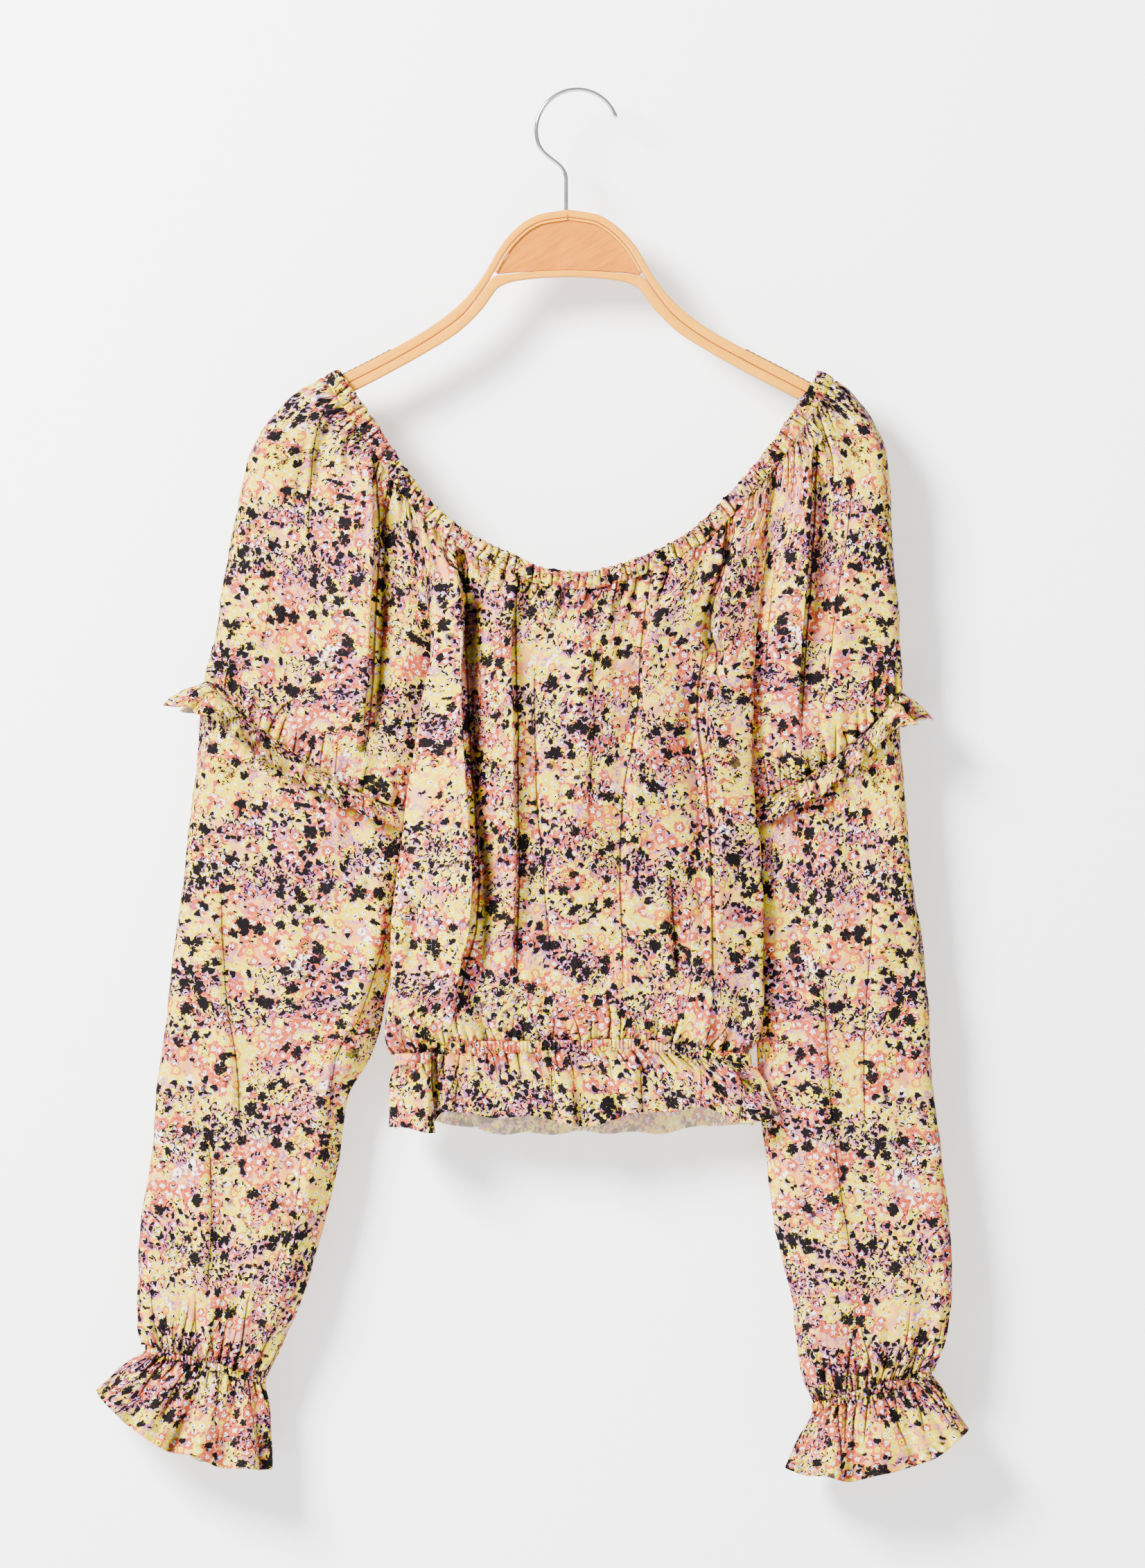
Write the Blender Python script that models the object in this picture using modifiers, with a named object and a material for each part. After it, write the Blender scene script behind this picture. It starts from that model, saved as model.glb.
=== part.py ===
"""Long-sleeve blouse with gathered neckline, hung on a wooden hanger.

The frame is metres with +Z up. The origin is the inner top of the hanger's hook, where a rail
carries it. The front of the blouse faces -Y and the wearer's right side lies at -X, which the
names call left, as it is seen. Tables are in millimetres, and drop is the distance below the origin.
"""

import math

import bmesh
import bpy
import numpy as np

MM = 0.001
WALL = 1.2
SEAM_GAP = 0.3
COLLECTION = "long_sleeve_blouse"
FRONT = -1
BACK = 1

# Neckline: a gathered casing round an elastic, which runs over both arms of the hanger
NECK_HALF_DEPTH = 12.5
NECK_ROUND = 10.0
CASING_WIDTH = 12.0
EDGE_RUN = 0.577
NECK_EDGE = (
    ("x", "drop"),
    ((-171.5, 203.5), (-156.5, 225.0), (-136.5, 255.0), (-116.5, 284.5), (-96.5, 306.5),
     (-76.5, 321.0), (-46.5, 335.5), (-20.0, 346.0), (5.0, 348.0), (30.0, 342.5), (60.0, 331.0),
     (85.0, 316.0), (105.0, 296.5), (125.0, 274.5), (143.5, 251.0), (158.0, 229.0), (173.5, 205.5)),
)
SHOULDER_SLOPE = math.radians(25.5)
SHOULDER_BLEND = 16.0

# Body: left and right are the front's visible fold edges, tuck is how far the side seam lies behind
# them, close runs from 0 at the neckline to 1 at the underarm, front and back are half depths
BODY = (
    ("drop", "left", "right", "tuck_left", "tuck_right", "close_left", "close_right", "front", "back"),
    ((200, -117, 158, 8, 8, 0.00, 0.00, 12.5, 12.5),
     (262, -117, 150, 8, 8, 0.00, 0.00, 12.5, 12.5),
     (304, -116, 146, 8, 8, 0.00, 0.22, 12.5, 12.5),
     (325, -113, 142.5, 8, 8, 0.10, 0.34, 12.7, 12.7),
     (346, -111, 139, 8, 8, 0.22, 0.46, 13.0, 13.0),
     (385, -111, 133, 8, 8, 0.62, 0.70, 14.5, 14.0),
     (412, -112.5, 130, 8, 8, 0.88, 0.88, 15.5, 15.0),
     (427, -114, 128, 8, 8, 1.00, 0.96, 16.0, 15.5),
     (437, -115.5, 127, 8, 8, 1.00, 1.00, 16.5, 15.5),
     (475, -120.5, 127, 8, 8, 1.00, 1.00, 18.0, 16.0),
     (512, -125, 129.5, 8, 9, 1.00, 1.00, 19.0, 17.0),
     (555, -129, 133, 8, 10, 1.00, 1.00, 20.0, 18.0),
     (600, -133.5, 134, 8, 10, 1.00, 1.00, 20.0, 18.0),
     (650, -136.5, 132, 8, 9, 1.00, 1.00, 18.0, 16.0),
     (680, -138, 130, 8, 9, 1.00, 1.00, 15.0, 13.0),
     (700, -136.5, 127.5, 8, 9, 1.00, 1.00, 12.5, 11.0),
     (715, -137, 134, 8, 12, 1.00, 1.00, 14.0, 12.0),
     (745, -139, 144, 8, 18, 1.00, 1.00, 17.0, 14.5),
     (770, -140, 147, 8, 20, 1.00, 1.00, 17.5, 15.0)),
)
CORNER_WIDTH = 16.0
CORNER_SWING = 1.7
SETTLE_ROUNDS = 8
MITRE = {FRONT: 1.4, BACK: 1.9}
MITRE_FADE = 36.0
SIDE_MITRE = 0.3
SLEEVE_MITRE = 1.0
UNDERARM = {"left": 427.0, "right": 437.0}
WAIST_LINE = (
    ("x", "drop"),
    ((-140, 696), (-120, 695), (-90, 687), (-40, 686.5), (38, 685), (96, 692), (130, 697)),
)
BAND_HEIGHT = 7.0
HEM_LINE = (
    ("x", "front", "back"),
    ((-142, 747, 744), (-109, 754, 748), (-98, 738, 751), (-65, 740, 752), (-18, 745, 754),
     (14, 743, 755), (42, 739, 754), (92, 735, 751), (110, 744, 749), (150, 746, 746)),
)

# Sleeves, from the neckline to the wrist: apart is how far the inner edge lies off the body's side
SLEEVE_UPPER = {
    "left": (
        ("v", "seam_drop", "apart", "outer_x", "outer_drop", "half_depth", "centre", "round"),
        ((0.00, 304.2, 0, -182.3, 208.9, 12.5, 0.0, 10),
         (0.10, 318, 0, -197.5, 215.4, 12.5, 0.0, 10),
         (0.22, 335, 0, -218.0, 234.0, 13.0, 0.8, 11),
         (0.36, 355, 0, -236.0, 262.0, 14.0, 1.8, 13),
         (0.50, 378, 0, -245.0, 300.0, 14.5, 2.6, 14),
         (0.62, 400, 0, -252.0, 335.0, 14.5, 3.2, 14),
         (0.72, 418, 0, -256.5, 362.0, 14.0, 3.6, 14),
         (0.79, 430, 0.5, -259.5, 382.0, 13.5, 4.0, 13),
         (0.89, 470, 3.5, -262.8, 404.0, 12.5, 4.0, 12),
         (1.00, 520, 6.5, -266.3, 424.0, 10.5, 4.0, 10)),
    ),
    "right": (
        ("v", "seam_drop", "apart", "outer_x", "outer_drop", "half_depth", "centre", "round"),
        ((0.00, 262.5, 0, 184.3, 211.4, 12.5, 0.0, 10),
         (0.10, 277, 0, 192.5, 216.5, 12.5, 0.0, 10),
         (0.22, 303, 0, 211.0, 236.5, 13.0, 0.8, 11),
         (0.36, 332, 0, 222.0, 264.0, 14.0, 1.8, 13),
         (0.50, 362, 0, 226.5, 302.0, 14.5, 2.6, 14),
         (0.62, 390, 0, 228.5, 340.0, 14.5, 3.2, 14),
         (0.72, 415, 0, 230.5, 370.0, 14.0, 3.6, 14),
         (0.80, 440, 2.4, 232.0, 393.0, 13.5, 4.0, 13),
         (0.89, 475, 5.6, 232.4, 412.0, 12.5, 4.0, 12),
         (1.00, 514, 6.0, 232.8, 432.0, 10.5, 4.0, 10)),
    ),
}
SLEEVE_LOWER = {
    "left": (
        ("v", "inner_x", "inner_drop", "outer_x", "outer_drop", "half_depth", "centre", "round"),
        ((0.00, None, None, None, None, 10.5, 4.0, 10),
         (0.10, -126.5, 560, -274.5, 482, 13.5, 4.5, 12),
         (0.22, -131.0, 605, -283.0, 545, 14.5, 5.0, 13),
         (0.36, -139.0, 660, -291.0, 618, 14.5, 5.0, 13),
         (0.46, -150.0, 697, -297.5, 672, 14.0, 5.0, 13),
         (0.56, -166.0, 728, -303.5, 722, 14.0, 5.0, 13),
         (0.66, -172.0, 766, -308.5, 768, 14.0, 5.0, 13),
         (0.77, -181.5, 815, -314.0, 815, 14.0, 5.0, 13),
         (0.88, -197.0, 865, -316.0, 862, 13.0, 4.5, 12),
         (0.95, -212.0, 903, -315.5, 888, 11.5, 4.0, 11),
         (1.00, -222.5, 928, -314.0, 905, 9.5, 4.0, 9)),
    ),
    "right": (
        ("v", "inner_x", "inner_drop", "outer_x", "outer_drop", "half_depth", "centre", "round"),
        ((0.00, None, None, None, None, 10.5, 4.0, 10),
         (0.10, 129.0, 560, 235.0, 488, 12.5, 5.5, 12),
         (0.22, 129.5, 610, 240.0, 548, 13.0, 6.0, 13),
         (0.34, 129.0, 665, 247.0, 605, 13.0, 6.5, 13),
         (0.45, 130.5, 715, 253.0, 660, 13.0, 6.5, 13),
         (0.55, 134.5, 757, 256.5, 712, 13.0, 6.0, 13),
         (0.65, 140.0, 795, 262.0, 762, 13.5, 5.5, 13),
         (0.76, 147.0, 838, 268.5, 812, 13.5, 5.0, 13),
         (0.87, 157.0, 882, 270.5, 855, 13.0, 4.5, 12),
         (0.95, 160.5, 922, 267.0, 893, 11.5, 4.0, 11),
         (1.00, 167.0, 948, 257.5, 923, 9.5, 4.0, 9)),
    ),
}
LINE_SAG = 10.0
SEAM_REACH = 20.0
CUFF_BAND_HEIGHT = 6.5
CUFF_HEM = {
    "left": {"inner": (-223.0, 996.0), "outer": (-346.5, 941.0), "sag": 17.0, "lean": 0.30},
    "right": {"inner": (151.5, 995.0), "outer": (283.0, 968.0), "sag": 19.0, "lean": 0.05},
}
CUFF_HEM_HALF_DEPTH = 19.0

# Ruffle above each elbow: a strip sewn in at the line where the upper sleeve is gathered
RUFFLE_STAND = 1.7
RUFFLE_CLEAR = 3.0
RUFFLE_FLARE = 3.5
RUFFLE_TIP = 11.0
RUFFLE_START = 0.005
RUFFLE_REACH = 0.034

# Largest folds: the crest's path as (x, drop) points, the widths on its two sides, and its lean in x
FOLD_COLUMNS = ("side", "height", "left", "right", "lean", "path")
BODY_FOLDS = (
    (FRONT, 12.5, 26, 8.0, 0.62, ((-91, 333), (-82, 430), (-77, 520), (-77, 600), (-84, 636), (-104, 682))),
    (FRONT, 5.5, 10, 12, 0.20, ((-49, 352), (-47.5, 458), (-49, 590))),
    (FRONT, 11.0, 8, 24, -0.62, ((56, 358), (47, 458), (40.5, 522), (36, 560), (40, 640))),
    (FRONT, 9.5, 8, 16, -0.60, ((109, 332), (104, 352), (105, 403), (117, 446))),
    (FRONT, 9.5, 8, 18, -0.62, ((95, 410), (93.5, 450), (98.5, 505), (101, 560), (102, 660))),
    (FRONT, 5.0, 9, 9, 0.00, ((68, 560), (70, 599), (69, 660))),
    (BACK, 9.0, 22, 8, 0.60, ((-86, 345), (-74, 440), (-70, 540), (-84, 668))),
    (BACK, 6.0, 10, 14, -0.20, ((-20, 365), (-24, 470), (-18, 620))),
    (BACK, 9.0, 8, 22, -0.60, ((62, 352), (52, 460), (46, 560), (52, 670))),
    (BACK, 6.0, 12, 8, 0.30, ((100, 325), (96, 430), (94, 560), (98, 660))),
)
SLEEVE_FOLDS = {
    "left": (
        (FRONT, 11.0, 22, 8, 0.70, ((-148, 292), (-146.5, 315), (-148, 365), (-152, 420), (-158, 470))),
        (FRONT, 6.0, 8, 13, -0.30, ((-188, 226), (-195.5, 251), (-200, 282), (-202, 320))),
        (BACK, 8.0, 18, 8, 0.50, ((-150, 275), (-154, 340), (-162, 440))),
        (BACK, 6.0, 9, 13, -0.30, ((-196, 232), (-206, 300), (-214, 400))),
        (FRONT, 6.0, 12, 8, 0.30, ((-263, 560), (-260, 647), (-251, 710), (-249, 760))),
        (FRONT, 5.0, 9, 9, 0.00, ((-142, 590), (-160, 665), (-181, 708), (-186, 760))),
        (FRONT, 5.0, 9, 9, 0.20, ((-287, 730), (-270, 770), (-269, 817), (-272, 890))),
        (BACK, 6.0, 12, 9, 0.30, ((-210, 520), (-222, 640), (-236, 780))),
        (BACK, 5.0, 9, 12, -0.20, ((-196, 760), (-214, 830), (-236, 900))),
    ),
    "right": (
        (FRONT, 7.5, 8, 16, -0.50, ((168.5, 264), (165.5, 320), (163, 380), (156.5, 462))),
        (FRONT, 5.0, 10, 10, 0.10, ((204, 250), (208, 320), (204, 400))),
        (BACK, 7.5, 14, 8, 0.50, ((172, 248), (168, 330), (160, 450))),
        (BACK, 5.0, 9, 12, -0.20, ((202, 252), (206, 330), (202, 410))),
        (FRONT, 6.0, 8, 12, -0.30, ((222, 560), (216.5, 629), (212, 690), (214, 760))),
        (FRONT, 5.0, 10, 8, 0.20, ((170, 640), (178, 740), (196, 860))),
        (BACK, 6.0, 9, 12, -0.30, ((180, 520), (186, 640), (202, 790))),
        (BACK, 5.0, 12, 9, 0.20, ((226, 700), (236, 790), (240, 890))),
    ),
}

# Gathers and waves: how many there are round each piece and how high they stand
GATHERS = {
    "neck_casing": (46, 1.0),
    "blouse_front": (19, 3.6),
    "blouse_back": (13, 3.4),
    "sleeve_upper": (9, 3.0),
    "sleeve_lower": (9, 3.0),
    "sleeve_ruffle": (13, 4.0),
    "cuff_band": (14, 0.8),
    "cuff_frill": (12, 6.0),
    "waist_band": (26, 0.9),
    "hem_frill_front": (11, 7.0),
    "hem_frill_back": (9, 6.0),
}
FRILL_ROWS = (0.0, 0.42, 1.0)
FRILL_GROWTH = np.array([[0.1], [0.6], [1.0]])
FRILL_SIDE_CLEAR = 0.35
FRILL_TOP_CLEAR = 0.4
GATHER_START = 9.0
GATHER_SWELL = 1.5
GATHER_EDGE = 0.12
GATHER_REACH = 26.0

# Hanger: top edge of the bow from its middle outwards, with the height of the wood below it
BOW_THICKNESS = 12.0
BOW_MIDDLE = -6.5
BOW = (
    ("from_middle", "top_left", "top_right", "bottom"),
    ((0, 85.6, 85.6, 133.9), (20, 88.8, 88.8, 134.8), (30, 93.3, 93.8, 135.8), (40, 101.3, 102.0, 137.4),
     (50, 113.3, 114.0, 141.4), (55, 122.0, 122.6, 147.0), (60, 130.8, 131.2, 154.4),
     (70, 144.8, 145.2, 165.4), (80, 155.3, 155.6, 174.3), (100, 170.5, 171.0, 187.0),
     (130, 188.0, 187.8, 203.8), (165, 206.0, 205.9, 221.8), (190, 219.0, 219.6, 234.6)),
)
BOW_END = 187.0
PANEL_BELOW_TOP = 7.5
PANEL_ARCH_REACH = 59.0
PANEL_BOTTOM = 129.4
PANEL_THICKNESS = 8.0
GRIP_START = 128.0
GRIP_END = 186.0
GRIP_PITCH = 4.0
GRIP_HEIGHT = 0.7
GRIP_WIDTH = 8.0

# Hook: wire bent to a half circle round the rail, with a stem set in the bow
WIRE_RADIUS = 1.5
HOOK_RADIUS = 29.6
HOOK_STEM_X = -8.0
HOOK_HOLE_DEPTH = 6.0
HOOK_STEM_FOOT = 91.0
HOOK_STEM_TOP = 64.0
HOOK_BEND_PULL = 14.0
HOOK_BEND_SHIFT = 3.5
HOOK_START_ANGLE = 195.0
HOOK_END_ANGLE = 21.0

COLOURS = {
    "print_cloth": (0.72, 0.50, 0.38, 1.0),
    "bent_wood": (0.78, 0.48, 0.20, 1.0),
    "plywood": (0.52, 0.30, 0.14, 1.0),
    "chrome_wire": (0.80, 0.80, 0.80, 1.0),
    "grip_rubber": (0.05, 0.05, 0.05, 1.0),
}


def column(table, name):
    """One named column of a table."""
    names, rows = table
    place = names.index(name)
    return np.array([row[place] for row in rows], dtype=float)


def flow(knots, values, at):
    """A smooth curve through the knots: a cubic on each span, level where the values turn back."""
    at = np.clip(at, knots[0], knots[-1])
    spans = np.diff(knots)
    steps = np.diff(values) / spans
    slopes = np.empty(len(knots))
    slopes[0] = steps[0]
    slopes[-1] = steps[-1]
    same = steps[:-1] * steps[1:] > 0
    total = np.where(same, steps[:-1] + steps[1:], 1.0)
    slopes[1:-1] = np.where(same, 2 * steps[:-1] * steps[1:] / total, 0.0)
    i = np.clip(np.searchsorted(knots, at, side="right") - 1, 0, len(spans) - 1)
    t = (at - knots[i]) / spans[i]
    rise = values[i] * (1 - t) ** 2 * (1 + 2 * t) + values[i + 1] * t ** 2 * (3 - 2 * t)
    return rise + spans[i] * (slopes[i] * t * (1 - t) ** 2 - slopes[i + 1] * t ** 2 * (1 - t))


def read(table, key, name, at):
    """A named column, read smoothly at any value of the key column."""
    return flow(column(table, key), column(table, name), at)


def blend(a, b, t):
    return a + (b - a) * t


def smoothstep(t):
    t = np.clip(t, 0.0, 1.0)
    return t * t * (3 - 2 * t)


def rounded(distance, radius, power=2.6):
    """Share of the full depth at a distance from a fold's edge: 0 on it, 1 from the radius on."""
    t = np.clip(1 - distance / radius, 0.0, 1.0)
    return (1 - t ** power) ** (1 / power)


def fold(points, sign, folds):
    """Raise each fold that lies on this side: a ridge leaning over in x, fading at its two ends."""
    x = points[..., 0].copy()
    drop = -points[..., 2]
    for row in folds:
        crest = dict(zip(FOLD_COLUMNS, row))
        path = np.array(crest["path"], dtype=float)
        along = np.clip((drop - path[0, 1]) / (path[-1, 1] - path[0, 1]), 0, 1)
        away = x - flow(path[:, 1], path[:, 0], drop)
        width = np.where(away < 0, crest["left"], crest["right"])
        fade = np.sin(np.pi * along) ** 0.6
        height = crest["height"] * fade * np.exp(-(away / width) ** 2) * (sign == crest["side"])
        points[..., 1] += crest["side"] * height
        points[..., 0] += crest["lean"] * height
    return points


def ripple(phase, count):
    """Uneven waves between 0 and 1, so many of them while the phase runs from 0 to 1."""
    drift = 0.35 * np.sin(2 * np.pi * (1.7 * phase + 0.2)) + 0.2 * np.sin(2 * np.pi * (4.3 * phase))
    return 0.5 + 0.5 * np.sin(2 * np.pi * (count * phase + drift))


def pull(points, distance, first, rows=True):
    """Move the first or last row, or column, towards the next one, so that it clears its seam."""
    grid = points if rows else points.swapaxes(0, 1)
    edge, inner = (0, 1) if first else (-1, -2)
    step = grid[inner] - grid[edge]
    length = np.linalg.norm(step, axis=-1, keepdims=True)
    grid[edge] += step / length * np.reshape(distance, (-1, 1))
    return points


def neck_edge(x):
    return read(NECK_EDGE, "x", "drop", x)


def neck_seam(x):
    """Where the casing ends below a point of the neckline's edge, square to it, along the ridge."""
    step = 0.5
    low = NECK_EDGE[1][0][0]
    high = NECK_EDGE[1][-1][0]
    run = (neck_edge(x + step) - neck_edge(x - step)) / (2 * step)
    run = np.where((x < low + step) | (x > high - step), 2 * run, run)
    size = np.hypot(1, run)
    across = -run / size
    down = 1 / size
    to_ridge = np.maximum(1 - (x - low) / SHOULDER_BLEND, 1 - (high - x) / SHOULDER_BLEND)
    to_ridge = smoothstep(to_ridge)
    side = np.where(x < 0, -1.0, 1.0)
    across = blend(across, side * math.cos(SHOULDER_SLOPE), to_ridge)
    down = blend(down, math.sin(SHOULDER_SLOPE), to_ridge)
    return x + CASING_WIDTH * across, neck_edge(x) + CASING_WIDTH * down


SEAM_X, SEAM_DROP = neck_seam(np.linspace(NECK_EDGE[1][0][0], NECK_EDGE[1][-1][0], 241))


def neck_seam_drop(x):
    return np.interp(x, SEAM_X, SEAM_DROP)


def neck_depth(x, drop, side):
    """Depth of the cloth at the neckline: full, but round over the ridge at each arm."""
    ends = np.where(x < 0, SEAM_X[0], SEAM_X[-1])
    end_drops = np.where(x < 0, SEAM_DROP[0], SEAM_DROP[-1])
    return side * NECK_HALF_DEPTH * rounded(np.hypot(x - ends, drop - end_drops), NECK_ROUND)


def side_seam(which, drop, side):
    """The raglan seam and, from the underarm down, the side seam, as x and y."""
    close = read(BODY, "drop", "close_" + which, drop)
    tuck = read(BODY, "drop", "tuck_" + which, drop) * (1 if which == "left" else -1)
    depth = read(BODY, "drop", "front" if side == FRONT else "back", drop)
    return read(BODY, "drop", which, drop) + tuck * close, side * depth * (1 - close)


def corner(which, t, drop, side):
    """A panel's turn from its seam, at t = 0, to its plane, at t = 1: a cubic from four points.

    Where the armhole is open the four points lie in one line. Towards the underarm the front
    swings out past its seam, and the back turns in from it.
    """
    close = read(BODY, "drop", "close_" + which, drop)
    tuck = read(BODY, "drop", "tuck_" + which, drop)
    depth = read(BODY, "drop", "front" if side == FRONT else "back", drop)
    if side == FRONT:
        over = (tuck, tuck - 1, -CORNER_SWING * tuck, np.full_like(tuck, CORNER_WIDTH))
    else:
        over = (tuck, tuck + 0.5, tuck + 2.5, tuck + CORNER_WIDTH - 4)
    out = (0.0, 0.5, 1.0, 1.0)
    flat = (0.0, CORNER_WIDTH / 3, 2 * CORNER_WIDTH / 3, CORNER_WIDTH)
    weights = ((1 - t) ** 3, 3 * (1 - t) ** 2 * t, 3 * (1 - t) * t ** 2, t ** 3)
    x = sum(w * blend(f, o, close) for w, f, o in zip(weights, flat, over))
    y = sum(w * blend(1.0, o, close) for w, o in zip(weights, out))
    return x, side * depth * y


def body_surface(side, drop, left_t, right_t, flat_u):
    """Points of the body at these drops: a corner, a plane and a corner, by column."""
    left = read(BODY, "drop", "left", drop)
    right = read(BODY, "drop", "right", drop)
    left_x, left_y = corner("left", left_t, drop, side)
    right_x, right_y = corner("right", right_t, drop, side)
    end_x = corner("left", np.ones_like(drop), drop, side)[0]
    start_x = corner("right", np.ones_like(drop), drop, side)[0]
    plane_x = blend(left + end_x, right - start_x, flat_u)
    plane_y = side * read(BODY, "drop", "front" if side == FRONT else "back", drop)
    x = np.where(left_t < 1, left + left_x, np.where(right_t < 1, right - right_x, plane_x))
    y = np.where(left_t < 1, left_y, np.where(right_t < 1, right_y, plane_y))
    return np.stack([x, y, -drop], axis=-1)


def body_columns(count, corner_count):
    """Column values across a panel: the two corners' own parameters, then the plane's."""
    turn = np.linspace(0, 1, corner_count + 1)
    plane = np.linspace(0, 1, count - 2 * corner_count + 1)[1:-1]
    ones = np.ones_like
    left = np.concatenate([turn, ones(plane), ones(turn)])
    right = np.concatenate([ones(turn), ones(plane), turn[::-1]])
    flat = np.concatenate([0 * turn, plane, ones(turn)])
    return left, right, flat


def body_panel(side, top, bottom, rows, columns):
    """A grid between two lines given as functions of x, which are found again as x settles."""
    left, right, flat = (np.tile(part, (len(rows), 1)) for part in columns)
    reach = np.array(rows)[:, None] * np.ones_like(left)
    x = np.linspace(column(BODY, "left")[0], column(BODY, "right")[0], left.shape[1]) * np.ones_like(left)
    for _ in range(SETTLE_ROUNDS):
        drop = blend(top(x), bottom(x), reach)
        points = body_surface(side, drop, left, right, flat)
        head = body_surface(side, top(x), left, right, flat)
        foot = body_surface(side, bottom(x), left, right, flat)
        x = blend(head[..., 0], foot[..., 0], reach)
    return points


def waist_top(x):
    return read(WAIST_LINE, "x", "drop", x)


def waist_bottom(x):
    return waist_top(x) + BAND_HEIGHT


def hem(side):
    name = "front" if side == FRONT else "back"
    return lambda x: read(HEM_LINE, "x", name, x)


def sleeve_columns(flat_count, round_count):
    """Places round a sleeve: share of the flat run and angle of the outer turn, front then back."""
    flat = np.linspace(0, 1, flat_count + 1)
    turn = np.linspace(0, np.pi / 2, round_count + 1)[1:]
    share = np.concatenate([flat, np.ones(round_count)])
    angle = np.concatenate([0 * flat, turn])
    sign = np.concatenate([np.full(len(share), FRONT), np.full(len(share) - 1, BACK)])
    return np.append(share, share[-2::-1]), np.append(angle, angle[-2::-1]), sign


def sleeve_section(inner, outer, inner_y, half_depth, centre, radius, places, sag):
    """Sections of a sleeve between its inner and outer edges, which are rows of (x, drop).

    The depth rises from the inner edge as a quarter sine, stays level, and turns round the
    outer edge as a squared-off quarter circle. The line between the edges sags in the middle.
    """
    share, angle, sign = places
    run = outer - inner
    length = np.hypot(run[:, 0], run[:, 1])[:, None]
    turn = radius[:, None] * (1 - np.sin(angle)[None, :] ** 0.77)
    away = np.where(angle > 0, length - turn, share * (length - radius[:, None]))
    part = away / length
    middle = 4 * part * (1 - part) * sag[:, None]
    square = np.stack([run[:, 1], -run[:, 0]], axis=-1) / length
    square = np.where(square[:, 1:] < 0, -square, square)
    x = inner[:, :1] + run[:, :1] * part + square[:, :1] * middle
    drop = inner[:, 1:] + run[:, 1:] * part + square[:, 1:] * middle
    plane = centre[:, None] + sign * half_depth[:, None]
    rise = np.sin(0.5 * np.pi * np.clip(away / SEAM_REACH, 0, 1))
    y = blend(inner_y, plane, rise)
    y = np.where(angle > 0, blend(centre[:, None], plane, np.cos(angle) ** 0.77), y)
    return np.stack([x, y, -drop], axis=-1)


def sleeve_edges_upper(which, v):
    """Inner and outer edges of the upper sleeve, with the seam's own depth on each side."""
    table = SLEEVE_UPPER[which]
    drop = read(table, "v", "seam_drop", v)
    apart = read(table, "v", "apart", v) * (-1 if which == "left" else 1)
    seam_x, front_y = side_seam(which, drop, FRONT)
    back_y = side_seam(which, drop, BACK)[1]
    outer = np.stack([read(table, "v", "outer_x", v), read(table, "v", "outer_drop", v)], axis=-1)
    return np.stack([seam_x + apart, drop], axis=-1), outer, front_y, back_y


def upper_sleeve(which, rows, places):
    """The sleeve from the neckline to the gathered line above the elbow, open along its inside."""
    v = np.array(rows)
    table = SLEEVE_UPPER[which]
    inner, outer, front_y, back_y = sleeve_edges_upper(which, v)
    inner_y = np.where(places[2] == FRONT, front_y[:, None], back_y[:, None])
    measures = [read(table, "v", name, v) for name in ("half_depth", "centre", "round")]
    points = sleeve_section(inner, outer, inner_y, *measures, places, LINE_SAG * v ** 3)
    share = np.hypot(points[0, :, 0] - inner[0, 0], points[0, :, 2] + inner[0, 1])
    share = share / np.hypot(*(outer[0] - inner[0]))
    end = SEAM_X[0] if which == "left" else SEAM_X[-1]
    x = blend(inner[0, 0], end, share)
    top = np.stack([x, points[0, :, 1], -neck_seam_drop(x)], axis=-1)
    fade = np.clip(1 - v / 0.3, 0, 1)[:, None, None] ** 2
    return points + (top - points[0]) * fade


def lower_table(which):
    """The lower sleeve's stations, the first of which is the upper sleeve's last."""
    names, rows = SLEEVE_LOWER[which]
    inner, outer = sleeve_edges_upper(which, np.array([1.0]))[:2]
    first = (0.0, *inner[0], *outer[0], *rows[0][5:])
    return names, (first, *rows[1:])


def lower_sleeve(which, rows, places):
    """The sleeve from the gathered line to the wrist, a closed tube with a creased inner edge."""
    v = np.array(rows)
    table = lower_table(which)
    edges = [np.stack([read(table, "v", edge + "_x", v), read(table, "v", edge + "_drop", v)], axis=-1)
             for edge in ("inner", "outer")]
    measures = [read(table, "v", name, v) for name in ("half_depth", "centre", "round")]
    inner_y = (measures[1] * smoothstep(v * 4))[:, None]
    return sleeve_section(*edges, inner_y, *measures, places, LINE_SAG * (1 - v) ** 3)


def cuff_frill(which, rows, places):
    """The flared end: from the wrist band's lower edge to a hem that hangs in a curve."""
    v = np.array(rows)[:, None]
    top = lower_sleeve(which, (1.0,), places)[0]
    top[:, 2] -= CUFF_BAND_HEIGHT
    hem_row = CUFF_HEM[which]
    inner = np.array([hem_row["inner"]])
    outer = np.array([hem_row["outer"]])
    half = np.array([CUFF_HEM_HALF_DEPTH])
    centre = np.array([4.0])
    sag = np.zeros(1)
    hem_line = sleeve_section(inner, outer, centre[:, None], half, centre, half, places, sag)[0]
    part = np.abs(hem_line[:, 0] - inner[0, 0]) / abs(outer[0, 0] - inner[0, 0])
    hem_line[:, 2] -= hem_row["sag"] * 4 * part * (1 - part) * (1 + hem_row["lean"] * (2 * part - 1))
    flare = smoothstep(v)[..., None] * 0.35 + v[..., None] * 0.65
    return blend(top[None], hem_line[None], flare)


def mitre(which, drop, side, after):
    """How far an edge stays off the raglan seam: more as the fold there tightens to the underarm.

    Below the underarm it falls to the given value, which suits the side seam or the sleeve's own.
    """
    close = read(BODY, "drop", "close_" + which, drop)
    below = smoothstep((drop - UNDERARM[which]) / MITRE_FADE)
    tight = MITRE[side] * np.sqrt(close)
    return 0.5 * SEAM_GAP + blend(tight, after, below)


def wave_out(points, sign, height):
    """Push points away from the piece's middle plane."""
    points[..., 1] += sign * height
    return points


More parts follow.
